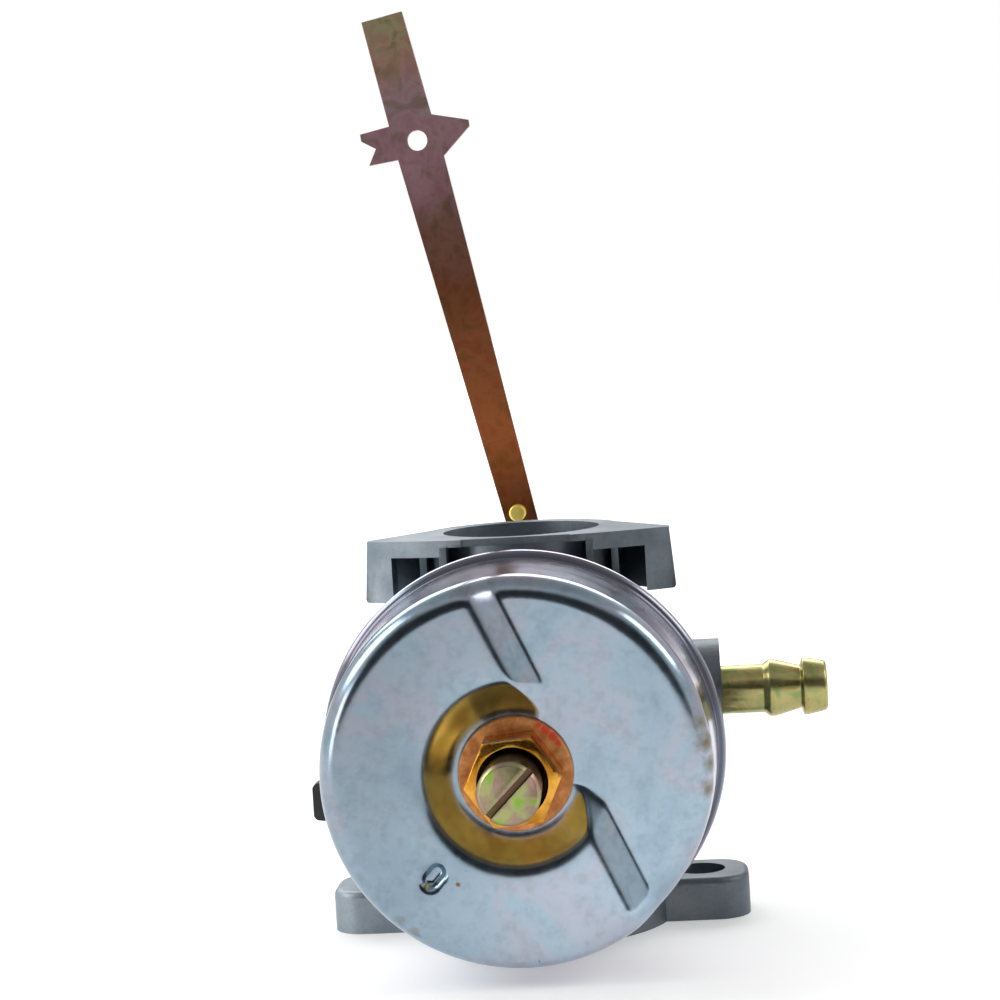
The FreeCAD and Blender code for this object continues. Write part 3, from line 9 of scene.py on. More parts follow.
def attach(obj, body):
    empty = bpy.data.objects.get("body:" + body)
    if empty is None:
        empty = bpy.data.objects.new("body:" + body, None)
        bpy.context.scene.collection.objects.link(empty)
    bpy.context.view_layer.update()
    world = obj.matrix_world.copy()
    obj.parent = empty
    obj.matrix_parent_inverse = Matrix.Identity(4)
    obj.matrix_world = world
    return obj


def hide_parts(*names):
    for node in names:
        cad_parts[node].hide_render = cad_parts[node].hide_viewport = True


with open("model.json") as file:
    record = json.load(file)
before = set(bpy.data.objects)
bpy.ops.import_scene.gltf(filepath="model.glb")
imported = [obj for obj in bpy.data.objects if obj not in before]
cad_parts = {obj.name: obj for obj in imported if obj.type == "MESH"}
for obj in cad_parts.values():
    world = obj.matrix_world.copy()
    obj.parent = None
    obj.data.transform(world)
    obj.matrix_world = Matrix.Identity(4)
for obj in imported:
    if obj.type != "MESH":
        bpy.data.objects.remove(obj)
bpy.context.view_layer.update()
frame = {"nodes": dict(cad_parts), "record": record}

MM = 0.001

# The height of the bowl's own axis, which runs along Y, in millimetres.
BOWL_Z = 25.5

# ---- node helpers ----


def linear(code):
    """Linear colour of an sRGB hex code."""
    parts = [int(code[start : start + 2], 16) / 255 for start in (0, 2, 4)]
    return [c / 12.92 if c <= 0.04045 else ((c + 0.055) / 1.055) ** 2.4 for c in parts] + [1.0]


def node(tree, kind, inputs=None, stops=None, **settings):
    """Adds a shader node, sets it up and links what feeds it."""
    made = tree.nodes.new("ShaderNode" + kind)
    for key, value in settings.items():
        setattr(made, key, value)
    for socket, value in (inputs or {}).items():
        if isinstance(value, bpy.types.NodeSocket):
            tree.links.new(value, made.inputs[socket])
        else:
            made.inputs[socket].default_value = value
    if stops:
        bar = made.color_ramp.elements
        while len(bar) < len(stops):
            bar.new(0.5)
        for spot, (position, code) in zip(bar, stops):
            spot.position = position
            spot.color = linear(code) if isinstance(code, str) else [code, code, code, 1.0]
    return made


def start_material(name):
    """An empty material with its shader, and the point on the piece that its patterns read."""
    made = bpy.data.materials.new(name)
    made.use_nodes = True
    tree = made.node_tree
    tree.nodes.clear()
    shader = node(tree, "BsdfPrincipled")
    node(tree, "OutputMaterial", {"Surface": shader.outputs[0]})
    spot = node(tree, "TexCoord").outputs["Object"]
    return made, tree, shader, spot


def set_shader(tree, shader, **values):
    """Sets the shader's sockets to constants or links them."""
    for key, value in values.items():
        socket = shader.inputs[key.replace("_", " ")]
        if isinstance(value, bpy.types.NodeSocket):
            tree.links.new(value, socket)
        else:
            socket.default_value = value


def per_mm(size):
    """Noise scale whose features are about this many millimetres across."""
    return 1.0 / (size * MM)


def mixed(tree, factor, first, second, blend="MIX"):
    """Colour mix of two sources."""
    made = node(tree, "Mix", data_type="RGBA", blend_type=blend)
    for socket, value in ((0, factor), (6, first), (7, second)):
        if isinstance(value, bpy.types.NodeSocket):
            tree.links.new(value, made.inputs[socket])
        else:
            made.inputs[socket].default_value = value
    return made.outputs[2]


# ---- finishes ----

# Worn places on the bowl and its washer: the centre x, y, z and the radius of each, in millimetres.
RIM_GRIME = (
    (22.3, -33.6, 30.4, 1.5),
    (22.6, -33.3, 28.0, 1.8),
    (22.9, -32.9, 25.4, 1.6),
    (22.6, -33.3, 22.4, 1.6),
    (-13.2, -36.9, 7.0, 1.2),
    (-14.6, -36.6, 8.8, 0.9),
    (-11.4, -36.9, 6.0, 0.7),
)
RUST_SPECKS = (
    (-7.4, -37.1, 13.0, 0.35),
    (-6.4, -37.1, 14.6, 0.25),
    (-12.2, -37.1, 8.6, 0.3),
    (1.6, -36.6, 3.2, 0.3),
)
PAINT_DAB = (
    (3.1, -35.5, 31.3, 0.5),
    (3.9, -35.5, 30.7, 0.7),
    (4.7, -35.5, 29.9, 0.7),
    (5.3, -35.5, 29.0, 0.5),
)

# The tight joint between the bowl's bead and its wall, along Y in millimetres.
SEAM_START = (-20.6, -20.1)
SEAM_END = (-19.9, -19.5)

# The painted shade in the bowl nut's pocket: its radius, and how deep along Y the painted shade fades in.
POCKET_R = (4.32, 4.24)
POCKET_Y = (-41.2, -40.4)


def along(tree, spot, axis, span_mm, low=0.0, high=1.0):
    """A value that runs from low to high between two places on one axis."""
    start, end = span_mm
    place = node(tree, "SeparateXYZ", {"Vector": spot})
    return node(tree, "MapRange", {
        "Value": place.outputs[axis], "From Min": start * MM, "From Max": end * MM,
        "To Min": low, "To Max": high}).outputs[0]


def patches(tree, spot, places, edge_mm=0.5, wobble_mm=1.6):
    """Mask of ragged patches, each given by its centre and radius in millimetres."""
    ragged = node(tree, "TexNoise", {"Vector": spot, "Scale": per_mm(0.9), "Detail": 4.0})
    mask = None
    for x, y, z, radius in places:
        centre = (x * MM, y * MM, z * MM)
        away = node(tree, "VectorMath", {0: spot, 1: centre}, operation="DISTANCE")
        edge = node(tree, "Math", {0: ragged.outputs[0], 1: wobble_mm * MM, 2: away.outputs["Value"]},
                    operation="MULTIPLY_ADD")
        rim = (radius + wobble_mm / 2) * MM
        inside = node(tree, "MapRange", {"Value": edge.outputs[0], "From Min": rim,
                                         "From Max": rim - edge_mm * MM}).outputs[0]
        if mask is not None:
            inside = node(tree, "Math", {0: mask, 1: inside}, operation="MAXIMUM").outputs[0]
        mask = inside
    return mask


def surface(tree, shader, colour, grain, rough, relief, relief_mm, metallic=1.0):
    """Colours the shader and lets one grain set its roughness and its fine relief."""
    low, high = rough
    level = node(tree, "MapRange", {"Value": grain, "To Min": low, "To Max": high}).outputs[0]
    bump = node(tree, "Bump", {"Height": grain, "Strength": relief, "Distance": relief_mm * MM})
    set_shader(tree, shader, Base_Color=colour, Metallic=metallic, Roughness=level, Normal=bump.outputs[0])
    return level


def die_cast_zinc():
    """As-cast body metal: grey and softly grained, with painted shade darkening it towards the fuel side."""
    made, tree, shader, spot = start_material("die cast body metal")
    cloud = node(tree, "TexNoise", {"Vector": spot, "Scale": per_mm(7), "Detail": 4.0})
    grain = node(tree, "TexNoise", {"Vector": spot, "Scale": per_mm(0.45), "Detail": 3.0})
    colour = node(tree, "ValToRGB", {"Fac": cloud.outputs[0]},
                  stops=[(0.3, "7A858D"), (0.5, "909AA2"), (0.72, "A2A9AF")])
    flecks = node(tree, "ValToRGB", {"Fac": grain.outputs[0]}, stops=[(0.3, 0.7), (0.55, 1.0)])
    finish = mixed(tree, 0.4, colour.outputs[0], flecks.outputs[0], "MULTIPLY")
    # Painted shade: the metal darkens towards the fuel side, away from the lamps on the left.
    finish = mixed(tree, 1.0, finish, along(tree, spot, 0, (-14, 20), 1.0, 0.55), "MULTIPLY")
    surface(tree, shader, finish, grain.outputs[0], (0.4, 0.56), 0.14, 0.15, 0.85)
    return made


def clear_zinc_steel():
    """Pressed sheet under clear blue-white zinc: a soft mirror, cloudy blue below and lilac on the wall,
    with painted shade towards the left and painted light towards the bottom.
    """
    made, tree, shader, spot = start_material("clear zinc plated sheet")
    cloud = node(tree, "TexNoise", {"Vector": spot, "Scale": per_mm(11), "Detail": 4.0, "Distortion": 0.5})
    hue = node(tree, "ValToRGB", {"Fac": cloud.outputs[0]},
               stops=[(0.3, "91A5B5"), (0.48, "9DB0BE"), (0.6, "A8AEBB"), (0.72, "9AB2C0")])
    mottle = node(tree, "TexNoise", {"Vector": spot, "Scale": per_mm(1.3), "Detail": 7.0, "Roughness": 0.62})
    tone = node(tree, "ValToRGB", {"Fac": mottle.outputs[0]}, stops=[(0.32, 0.8), (0.55, 1.0)])
    finish = mixed(tree, 0.75, hue.outputs[0], tone.outputs[0], "MULTIPLY")
    # Painted shade and painted reflection: the sheet darkens towards the left and brightens towards the
    # bottom.
    finish = mixed(tree, 1.0, finish, along(tree, spot, 0, (-16, 6), 0.72, 1.0), "MULTIPLY")
    finish = mixed(tree, 1.0, finish, along(tree, spot, 2, (26, 2), 1.0, 1.3), "MULTIPLY")
    film = node(tree, "TexNoise", {"Vector": spot, "Scale": per_mm(14), "Detail": 3.0, "Distortion": 0.3})
    lilac = node(tree, "ValToRGB", {"Fac": film.outputs[0]},
                 stops=[(0.35, "A6B1C0"), (0.48, "B0A8B4"), (0.6, "B2ACBE"), (0.75, "A4B4C6")])
    drawn = along(tree, spot, 1, (-33.6, -32.4), 0.0, 0.85)
    finish = mixed(tree, drawn, finish, lilac.outputs[0])
    opened = along(tree, spot, 1, SEAM_START)
    closed = along(tree, spot, 1, SEAM_END, 0.8, 0.0)
    seam = node(tree, "Math", {0: opened, 1: closed}, operation="MULTIPLY")
    finish = mixed(tree, seam.outputs[0], finish, linear("2E343C"))
    grime = patches(tree, spot, RIM_GRIME, 1.6)
    finish = mixed(tree, grime, finish, linear("7E7867"))
    rust = patches(tree, spot, RUST_SPECKS, 0.25, 0.8)
    finish = mixed(tree, rust, finish, linear("9C6A38"))
    level = surface(tree, shader, finish, mottle.outputs[0], (0.13, 0.25), 0.05, 0.12)
    dull = node(tree, "Math", {0: grime, 1: rust}, operation="MAXIMUM")
    worn = node(tree, "Math", {0: dull.outputs[0], 1: 0.35, 2: level}, operation="MULTIPLY_ADD")
    set_shader(tree, shader, Roughness=worn.outputs[0])
    return made


def yellow_zinc(name, stops, patch_mm, rough=(0.24, 0.36), swirl=1.2, painted_shade=None):
    """Yellow chromate over zinc: a thin rainbow film that drifts from gold to green and pink."""
    made, tree, shader, spot = start_material(name)
    film = node(tree, "TexNoise", {"Vector": spot, "Scale": per_mm(patch_mm), "Detail": 3.0,
                                   "Distortion": swirl})
    finish = node(tree, "ValToRGB", {"Fac": film.outputs[0]}, stops=stops).outputs[0]
    if painted_shade:
        finish = painted_shade(tree, spot, finish)
    grit = node(tree, "TexNoise", {"Vector": spot, "Scale": per_mm(0.3), "Detail": 3.0})
    surface(tree, shader, finish, grit.outputs[0], rough, 0.06, 0.08)
    return made


def painted_slot_shade(tree, spot, film):
    """Painted shade: dark brown behind the drain screw's face, in its slot and over the barrel."""
    darkened = mixed(tree, 0.8, film, linear("4E3A22"))
    # Painted shade: dark brown mixed over the screw behind its face, covering the slot floor and the barrel.
    return mixed(tree, along(tree, spot, 1, (-47.9, -47.3)), film, darkened)


def lever_chromate():
    """The long lever's film: copper brown near the pivot, dark in the middle, mauve and straw at the tip."""
    made, tree, shader, spot = start_material("aged yellow chromate on the lever")
    height = along(tree, spot, 2, (48, 122))
    drift = node(tree, "TexNoise", {"Vector": spot, "Scale": per_mm(6), "Detail": 3.0, "Distortion": 0.8})
    shift = node(tree, "Math", {0: drift.outputs[0], 1: -0.5}, operation="ADD")
    bend = node(tree, "Math", {0: shift.outputs[0], 1: 0.16, 2: height}, operation="MULTIPLY_ADD")
    hue = node(tree, "ValToRGB", {"Fac": bend.outputs[0]}, stops=[
        (0.0, "8A5A42"), (0.08, "9A5A34"), (0.2, "A8623A"), (0.33, "8E5636"), (0.48, "72462F"),
        (0.6, "7B5A50"), (0.72, "A27C84"), (0.84, "AC8E92"), (0.93, "B8947E"), (1.0, "B5B088")])
    tint = node(tree, "TexNoise", {"Vector": spot, "Scale": per_mm(2.4), "Detail": 5.0, "Distortion": 0.4})
    patch = node(tree, "ValToRGB", {"Fac": tint.outputs[0]},
                 stops=[(0.35, "BCC79A"), (0.5, "FFFFFF"), (0.66, "EAC4D2")])
    finish = mixed(tree, 0.55, hue.outputs[0], patch.outputs[0], "MULTIPLY")
    surface(tree, shader, finish, tint.outputs[0], (0.28, 0.42), 0.05, 0.1)
    return made


def turned_metal(name, pale, deep, rough=0.22, metallic=1.0, painted_shade=None):
    """Turned bar: fine tool rings round its axis and a little handling wear."""
    made, tree, shader, spot = start_material(name)
    stretch = (per_mm(3.0), per_mm(0.25), per_mm(3.0))
    rings = node(tree, "VectorMath", {0: spot, 1: stretch}, operation="MULTIPLY")
    lines = node(tree, "TexNoise", {"Vector": rings.outputs[0], "Scale": 1.0, "Detail": 2.0})
    wear = node(tree, "TexNoise", {"Vector": spot, "Scale": per_mm(2.5), "Detail": 4.0})
    finish = node(tree, "ValToRGB", {"Fac": wear.outputs[0]}, stops=[(0.35, deep), (0.6, pale)]).outputs[0]
    if painted_shade:
        finish = painted_shade(tree, spot, finish)
    surface(tree, shader, finish, lines.outputs[0], (rough - 0.06, rough + 0.1), 0.08, 0.05, metallic)
    return made


def painted_pocket_shade(tree, spot, brass):
    """Nearly black painted shade inside the bowl nut's pocket, round the drain screw."""
    place = node(tree, "SeparateXYZ", {"Vector": spot})
    flat = node(tree, "CombineXYZ", {0: place.outputs[0], 2: place.outputs[2]})
    away = node(tree, "VectorMath", {0: flat.outputs[0], 1: (0, 0, BOWL_Z * MM)}, operation="DISTANCE")
    outer, inner = POCKET_R
    inside = node(tree, "MapRange", {"Value": away.outputs["Value"], "From Min": outer * MM,
                                     "From Max": inner * MM})
    below = along(tree, spot, 1, POCKET_Y)
    # Painted shade: the pocket wall goes nearly black deeper than POCKET_Y.
    pocket_shade = node(tree, "Math", {0: inside.outputs[0], 1: below}, operation="MULTIPLY")
    return mixed(tree, pocket_shade.outputs[0], brass, linear("1C130B"))


def soft_copper():
    """Annealed copper washer: dull and pinkish orange, with a dab of red paint on one side."""
    made, tree, shader, spot = start_material("annealed copper with a paint dab")
    cloud = node(tree, "TexNoise", {"Vector": spot, "Scale": per_mm(1.2), "Detail": 5.0})
    hue = node(tree, "ValToRGB", {"Fac": cloud.outputs[0]},
               stops=[(0.3, "AE6C3A"), (0.5, "CC8A50"), (0.7, "E2A66E")])
    dab = patches(tree, spot, PAINT_DAB, 0.3, 0.4)
    finish = mixed(tree, dab, hue.outputs[0], linear("D8431E"))
    metal = node(tree, "MapRange", {"Value": dab, "To Min": 0.55, "To Max": 0.0})
    surface(tree, shader, finish, cloud.outputs[0], (0.45, 0.65), 0.1, 0.1, metal.outputs[0])
    return made


def dull_solid(name, pale, deep, rough=0.5, grain_mm=0.4, relief=0.15):
    """Moulded plastic, rubber or pressed fibre: uneven tone and a fine matte grain."""
    made, tree, shader, spot = start_material(name)
    cloud = node(tree, "TexNoise", {"Vector": spot, "Scale": per_mm(4), "Detail": 3.0})
    hue = node(tree, "ValToRGB", {"Fac": cloud.outputs[0]}, stops=[(0.35, deep), (0.65, pale)])
    grain = node(tree, "TexNoise", {"Vector": spot, "Scale": per_mm(grain_mm), "Detail": 2.0})
    surface(tree, shader, hue.outputs[0], grain.outputs[0], (rough - 0.08, rough + 0.1), relief, 0.08, 0.0)
    return made


CAST = die_cast_zinc()
ZINC = clear_zinc_steel()
LEVER_FILM = lever_chromate()
BARB_FILM = yellow_zinc("yellow chromate on the fuel inlet", [
    (0.3, "87985A"), (0.45, "A9A56E"), (0.55, "B4A870"), (0.68, "A09258"), (0.8, "8FA065")], 2.5)
SCREW_FILM = yellow_zinc("aged chromate on the drain screw", [
    (0.32, "86B044"), (0.42, "A6A472"), (0.52, "9C8874"), (0.62, "B08C80"), (0.74, "A9A060")],
    3.2, (0.26, 0.4), 0.5, painted_slot_shade)
PIN_BRASS = turned_metal("pin brass", "FFE676", "E8C24C", 0.4, 0.55)
JET_BRASS = turned_metal("turned jet brass", "DDB45C", "B98F3C", 0.28)
NUT_BRASS = turned_metal("drawn hex brass with painted shade in its pocket", "DFA646", "B87A26", 0.2,
                         painted_shade=painted_pocket_shade)
BRIGHT_STEEL = turned_metal("bright zinc steel", "B0B4B9", "8B9097", 0.27)
SPRING_STEEL = turned_metal("spring wire", "B5B7BA", "8C8E92", 0.3)
COPPER = soft_copper()
BLACK_NYLON = dull_solid("black moulded nylon", "202326", "121416", 0.38)
FLOAT_FOAM = dull_solid("moulded float plastic", "2C2A27", "1B1A18", 0.6)
RUBBER = dull_solid("nitrile rubber", "1B1B1C", "101011", 0.6, 0.6, 0.1)
FELT = dull_solid("pressed fibre", "9A4A32", "75341F", 0.85, 0.25, 0.4)

FINISH = {
    "body_casting": CAST, "float_bowl": ZINC, "bowl_gasket": RUBBER, "bowl_nut_washer": COPPER,
    "bowl_nut": NUT_BRASS, "drain_screw": SCREW_FILM, "drain_washer": FELT, "main_jet": JET_BRASS,
    "emulsion_tube": JET_BRASS, "pilot_jet": JET_BRASS, "welch_plug": BRIGHT_STEEL,
    "needle_seat": JET_BRASS, "inlet_needle": BRIGHT_STEEL, "float": FLOAT_FOAM,
    "float_pin": BRIGHT_STEEL, "fuel_inlet": BARB_FILM, "choke_shaft": BRIGHT_STEEL,
    "choke_plate": BRIGHT_STEEL, "choke_plate_screws": BRIGHT_STEEL, "choke_lever": LEVER_FILM,
    "lever_pin": PIN_BRASS, "choke_detent_ball": BRIGHT_STEEL, "choke_detent_spring": SPRING_STEEL,
    "choke_shaft_seal": FELT, "throttle_shaft": BRIGHT_STEEL, "throttle_plate": JET_BRASS,
    "throttle_plate_screws": BRIGHT_STEEL, "throttle_lever": BLACK_NYLON,
    "throttle_lever_screw": BRIGHT_STEEL, "throttle_shaft_seal": FELT,
    "idle_speed_screw": BRIGHT_STEEL, "idle_speed_spring": SPRING_STEEL,
    "mixture_screw": JET_BRASS, "mixture_spring": SPRING_STEEL,
}

for name, piece in frame["nodes"].items():
    piece.data.materials.clear()
    piece.data.materials.append(FINISH[name])

# ---- piece helpers ----

BODY_OF = {
    member: body
    for body, members in frame["record"]["behaviour"]["bodies"].items()
    for member in members
}

# Points closer than this join up; faces that differ by less than this angle become one.
WELD = 0.001 * MM
FLAT_ANGLE = math.radians(0.6)

# Edges that turn by more than this are broken with a small round.
BREAK_ANGLE = math.radians(30.0)


def add_piece(name, shape, finish, replaced, sharp_deg=35.0):
    """Turns a bmesh into a piece that rides where the node it replaces rides."""
    mesh = bpy.data.meshes.new(name)
    shape.to_mesh(mesh)
    shape.free()
    mesh.materials.append(finish)
    for face in mesh.polygons:
        face.use_smooth = True
    mesh.set_sharp_from_angle(angle=math.radians(sharp_deg))
    piece = bpy.data.objects.new(name, mesh)
    bpy.context.scene.collection.objects.link(piece)
    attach(piece, BODY_OF[replaced])
    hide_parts(replaced)
    return piece


def soften_edges(piece, width_mm, steps):
    """Breaks the piece's sharp edges with a small round."""
    bevel = piece.modifiers.new("edge break", "BEVEL")
    bevel.width = width_mm * MM
    bevel.segments = steps
    bevel.limit_method = "ANGLE"
    bevel.angle_limit = BREAK_ANGLE
    bevel.use_clamp_overlap = True
    bevel.harden_normals = True


def worked_copy(node_name, piece_name, width_mm, steps):
    """A joined-up copy of a node's mesh with its edges broken."""
    shape = bmesh.new()
    shape.from_mesh(frame["nodes"][node_name].data)
    bmesh.ops.remove_doubles(shape, verts=shape.verts, dist=WELD)
    bmesh.ops.dissolve_limit(shape, angle_limit=FLAT_ANGLE, verts=shape.verts, edges=shape.edges)
    piece = add_piece(piece_name, shape, FINISH[node_name], node_name)
    soften_edges(piece, width_mm, steps)


def spin_profile(points, steps, cut_edges):
    """Spins a (radius, depth) profile in millimetres about the bowl's axis."""
    shape = bmesh.new()
    chain = [shape.verts.new((radius * MM, depth * MM, BOWL_Z * MM)) for radius, depth in points]
    edges = [shape.edges.new(pair) for pair in zip(chain, chain[1:])]
    for index, cuts in cut_edges.items():
        bmesh.ops.subdivide_edges(shape, edges=[edges[index]], cuts=cuts)
    bmesh.ops.spin(
        shape, geom=shape.verts[:] + shape.edges[:], cent=(0, 0, BOWL_Z * MM), axis=(0, 1, 0),
        angle=math.tau, steps=steps, use_merge=True)
    bmesh.ops.remove_doubles(shape, verts=shape.verts, dist=WELD)
    bmesh.ops.recalc_face_normals(shape, faces=shape.faces)
    return shape


# ---- float bowl: radii, widths and depths in millimetres, depths along -Y ----

# The drawn cup: its turned-over bead, wall and rounded edge, each point a radius and a depth.
BEAD = (
    (23.0, -18.3), (24.5, -18.3), (24.92, -18.45), (25.1, -18.85), (25.1, -19.3),
    (24.92, -19.72), (24.5, -19.95), (24.2, -20.15), (24.06, -20.5),
)
WALL_MID_R, WALL_MID_Y = 23.75, -28.0
WALL_LOW_R = 23.5
EDGE_R = 2.8
EDGE_STEPS = 14
DEEP_Y = -37.2
WASHER_R = 6.8
HOLE_R = 3.4
SHEET = 0.8

# How finely the cup is cut: round it, down its upper and lower wall, and across its floor.
STEPS_ROUND = 480
UPPER_WALL_CUTS, LOWER_WALL_CUTS, FLOOR_CUTS = 4, 8, 62

# The floor stands back by one step beyond the ramp and on the centre pad.
STEP_RISE = 2.8
RAMP_TURN = math.radians(24.2)
RAMP_LOW, RAMP_HIGH = 4.5, 7.7
RAMP_LOW_ROUND, RAMP_HIGH_ROUND = 0.55, 0.28
FLARE_LOW, FLARE_HIGH, FLARE_ROUND = 0.25, 0.45, 0.3
PAD_R, PAD_WALL_R = 8.0, 11.2
PAD_ROUND, PAD_WALL_ROUND = 0.9, 1.0
PAD_BLEND = 0.35

# The small oblong dimple: its middle, turn, half the straight part, depth and side wall.
DIMPLE_X, DIMPLE_Z = -10.3, 14.0
DIMPLE_TURN = math.radians(47)
DIMPLE_HALF = 0.6
DIMPLE_DEPTH = 1.0
DIMPLE_FLOOR, DIMPLE_RIM = 0.5, 1.3
DIMPLE_FLOOR_ROUND, DIMPLE_RIM_ROUND = 0.15, 0.25


def rounded_above(value, softness):
    """The value where it is well above nought, and nought where it is well below."""
    return (value + math.hypot(value, softness)) / 2


def eased_step(value, low, high, low_round, high_round):
    """0 below low and 1 above high, with each corner rounded by its own amount."""
    return (rounded_above(value - low, low_round) - rounded_above(value - high, high_round)) / (high - low)


def turned(across, up, angle):
    """The point's two measures along axes turned by the angle."""
    return (across * math.cos(angle) + up * math.sin(angle),
            up * math.cos(angle) - across * math.sin(angle))


def floor_rise(x, z):
    """How far the pressed bowl bottom stands back from its deepest plane, in millimetres."""
    up = z - BOWL_Z
    across = turned(x, up, RAMP_TURN)[0]
    radius = math.hypot(x, up)
    inward = rounded_above(PAD_WALL_R - radius, FLARE_ROUND)
    ramp = STEP_RISE * eased_step(across, RAMP_LOW - FLARE_LOW * inward, RAMP_HIGH - FLARE_HIGH * inward,
                                  RAMP_LOW_ROUND, RAMP_HIGH_ROUND)
    pad = STEP_RISE * (1 - eased_step(radius, PAD_R, PAD_WALL_R, PAD_ROUND, PAD_WALL_ROUND))
    rise = min(STEP_RISE, ramp + rounded_above(pad - ramp, PAD_BLEND))
    side, cross = turned(x - DIMPLE_X, z - DIMPLE_Z, DIMPLE_TURN)
    reach = math.hypot(max(0.0, abs(side) - DIMPLE_HALF), cross)
    dimple = 1 - eased_step(reach, DIMPLE_FLOOR, DIMPLE_RIM, DIMPLE_FLOOR_ROUND, DIMPLE_RIM_ROUND)
    return rise + DIMPLE_DEPTH * dimple


def pressed_bowl():
    """The bowl's skin: rolled bead, drawn wall, rounded edge and the stepped floor, then its thickness."""
    corner = []
    for index in range(EDGE_STEPS + 1):
        turn = math.pi / 2 * index / EDGE_STEPS
        corner.append((WALL_LOW_R - EDGE_R + EDGE_R * math.cos(turn),
                       DEEP_Y + EDGE_R - EDGE_R * math.sin(turn)))
    profile = [*BEAD, (WALL_MID_R, WALL_MID_Y), *corner, (WASHER_R, DEEP_Y), (HOLE_R, DEEP_Y)]
    cuts = {len(BEAD) - 1: UPPER_WALL_CUTS, len(BEAD): LOWER_WALL_CUTS, len(profile) - 3: FLOOR_CUTS}
    shape = spin_profile(profile, STEPS_ROUND, cuts)
    for vert in shape.verts:
        depth = vert.co.y / MM
        if depth < WALL_MID_Y:
            share = min(1.0, (WALL_MID_Y - depth) / (WALL_MID_Y - (DEEP_Y + EDGE_R)))
            vert.co.y += floor_rise(vert.co.x / MM, vert.co.z / MM) * share * MM
    bmesh.ops.recalc_face_normals(shape, faces=shape.faces)
    piece = add_piece("pressed_bowl", shape, ZINC, "float_bowl", 60)
    sheet = piece.modifiers.new("sheet thickness", "SOLIDIFY")
    sheet.thickness = SHEET * MM
    sheet.offset = -1


pressed_bowl()

# ---- worked copies: the CAD node, the piece's name, its edge break in millimetres, and steps round it ----

for node_name, piece_name, edge_break, edge_steps in (
    ("body_casting", "cast_body", 0.25, 2),
    ("bowl_nut", "hex_bowl_nut", 0.12, 2),
    ("drain_screw", "slotted_drain_screw", 0.12, 2),
    ("choke_lever", "long_choke_lever", 0.18, 2),
    ("throttle_lever", "moulded_throttle_lever", 0.3, 2),
    ("fuel_inlet", "hose_barb", 0.08, 2),
    ("lever_pin", "domed_lever_pin", 1.0, 6),
):
    worked_copy(node_name, piece_name, edge_break, edge_steps)

# ---- floor, light and camera, in metres ----

FLOOR_HALF = 6.0
GLOW_START, GLOW_FULL = 0.6, 1.6
AIM = (0, 0, 0.03)


def white_paper():
    """Plain matte studio paper: dim beside the part, and glowing white further off."""
    made, tree, shader, spot = start_material("white studio paper")
    away = node(tree, "VectorMath", {0: spot}, operation="LENGTH")
    glow = node(tree, "MapRange", {"Value": away.outputs["Value"], "From Min": GLOW_START,
                                   "From Max": GLOW_FULL, "To Min": 0.28})
    set_shader(tree, shader, Base_Color=linear("F4F4F4"), Roughness=0.9,
               Emission_Color=linear("FFFFFF"), Emission_Strength=glow.outputs[0])
    return made


def lay_floor():
    """A wide sheet under the part, which belongs to the stage."""
    mesh = bpy.data.meshes.new("floor")
    shape = bmesh.new()
    bmesh.ops.create_grid(shape, x_segments=1, y_segments=1, size=FLOOR_HALF)
    shape.to_mesh(mesh)
    shape.free()
    mesh.materials.append(white_paper())
    floor = bpy.data.objects.new("floor", mesh)
    bpy.context.scene.collection.objects.link(floor)


def area_light(name, spot, size, power):
    """A soft box that faces the part."""
    lamp = bpy.data.lights.new(name, "AREA")
    lamp.shape = "RECTANGLE"
    lamp.size, lamp.size_y = size
    lamp.energy = power
    holder = bpy.data.objects.new(name, lamp)
    bpy.context.scene.collection.objects.link(holder)
    holder.location = spot
    holder.rotation_euler = (Vector(AIM) - Vector(spot)).to_track_quat("-Z", "Y").to_euler()


lay_floor()
area_light("back box", (-0.15, 0.7, 0.6), (1.2, 0.4), 5.0)
area_light("left box", (-0.58, -0.06, 0.42), (0.34, 0.34), 1.5)
area_light("low left card", (-0.5, -0.32, 0.05), (0.16, 0.3), 0.5)
area_light("right box", (0.56, -0.06, 0.45), (0.24, 0.3), 0.8)


def eased(tree, value, start, end):
    """Runs smoothly from 0 to 1 between two values."""
    return node(tree, "MapRange", {"Value": value, "From Min": start, "From Max": end},
                interpolation_type="SMOOTHSTEP").outputs[0]


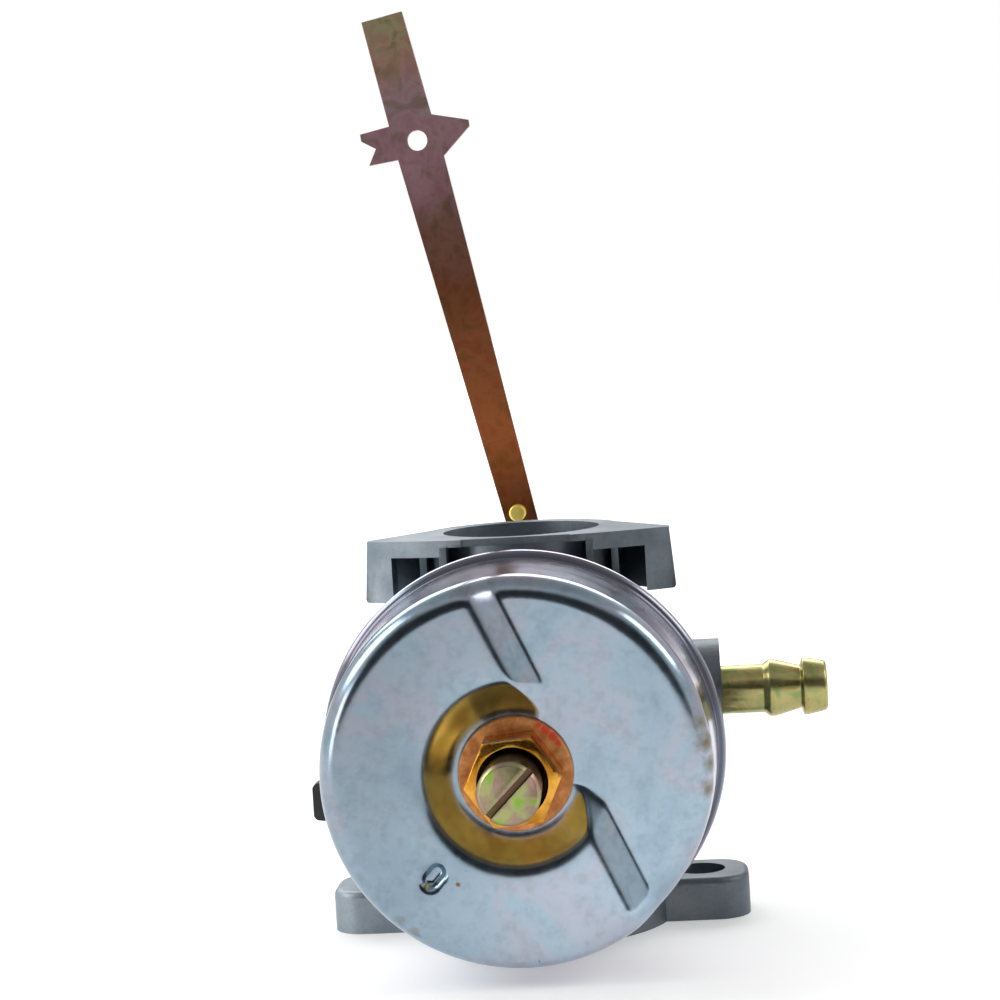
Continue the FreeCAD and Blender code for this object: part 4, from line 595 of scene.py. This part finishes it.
def studio_sky():
    """A pale room with a dim ceiling, a dull band low behind the part and a dark card in front of it."""
    world = bpy.data.worlds.new("studio")
    bpy.context.scene.world = world
    world.use_nodes = True
    sky = world.node_tree
    sky.nodes.clear()
    direction = node(sky, "TexCoord").outputs["Generated"]
    rightward, backward, upward = node(sky, "SeparateXYZ", {"Vector": direction}).outputs
    dome = node(sky, "ValToRGB", {"Fac": upward}, stops=[(0.0, 0.8), (0.6, 0.8), (0.9, 0.4), (1.0, 0.35)])
    sides = node(sky, "MapRange", {"Value": rightward, "From Min": -0.9, "From Max": 0.9,
                                   "To Min": 1.35, "To Max": 0.85})
    light = mixed(sky, 1.0, dome.outputs[0], sides.outputs[0], "MULTIPLY")
    band = eased(sky, upward, 0.03, 0.1)
    for limit in (eased(sky, upward, 0.35, 0.2), eased(sky, backward, 0.7, 0.9)):
        band = node(sky, "Math", {0: band, 1: limit}, operation="MULTIPLY").outputs[0]
    light = mixed(sky, band, light, linear("86808C"))
    forward = node(sky, "Math", {0: backward, 1: -1.0}, operation="MULTIPLY")
    bearing = node(sky, "Math", {0: rightward, 1: forward.outputs[0]}, operation="ARCTAN2")
    swing = node(sky, "Math", {0: bearing.outputs[0]}, operation="ABSOLUTE")
    beside_card = eased(sky, swing.outputs[0], 0.75, 1.15)
    above_card = eased(sky, upward, 0.55, 0.8)
    off_card = node(sky, "Math", {0: beside_card, 1: above_card}, operation="MAXIMUM")
    light = mixed(sky, off_card.outputs[0], linear("343638"), light)
    room = node(sky, "Background", {"Color": light, "Strength": 1.0})
    backdrop = node(sky, "Background", {"Color": linear("FFFFFF"), "Strength": 1.0})
    seen = node(sky, "LightPath").outputs["Is Camera Ray"]
    blend = node(sky, "MixShader", {0: seen, 1: room.outputs[0], 2: backdrop.outputs[0]})
    node(sky, "OutputWorld", {"Surface": blend.outputs[0]})


studio_sky()

SENSOR_MM, LENS_MM = 36.0, 94.11336
VIEW_AZIMUTH, VIEW_ELEVATION, VIEW_ROLL = (math.radians(degrees) for degrees in (4.23, 4.26, -3.39))
VIEW_TARGET_MM = (-2.52, 0, 55.41)
VIEW_DISTANCE_MM = 341.9


def product_camera():
    """Looks at the bowl's face from a little to the right, a little above and slightly tilted."""
    lens = bpy.data.cameras.new("product camera")
    lens.sensor_width = SENSOR_MM
    lens.lens = LENS_MM
    lens.clip_start = 0.01
    camera = bpy.data.objects.new("product camera", lens)
    bpy.context.scene.collection.objects.link(camera)
    back = Vector((math.sin(VIEW_AZIMUTH) * math.cos(VIEW_ELEVATION),
                   -math.cos(VIEW_AZIMUTH) * math.cos(VIEW_ELEVATION), math.sin(VIEW_ELEVATION)))
    level = Vector((math.cos(VIEW_AZIMUTH), math.sin(VIEW_AZIMUTH), 0))
    upright = back.cross(level)
    right = level * math.cos(VIEW_ROLL) + upright * math.sin(VIEW_ROLL)
    top = upright * math.cos(VIEW_ROLL) - level * math.sin(VIEW_ROLL)
    facing = Matrix((right, top, back)).transposed().to_4x4()
    place = Vector(VIEW_TARGET_MM) * MM + back * VIEW_DISTANCE_MM * MM
    camera.matrix_world = Matrix.Translation(place) @ facing
    bpy.context.scene.camera = camera


product_camera()
bpy.context.scene.view_settings.view_transform = "Standard"
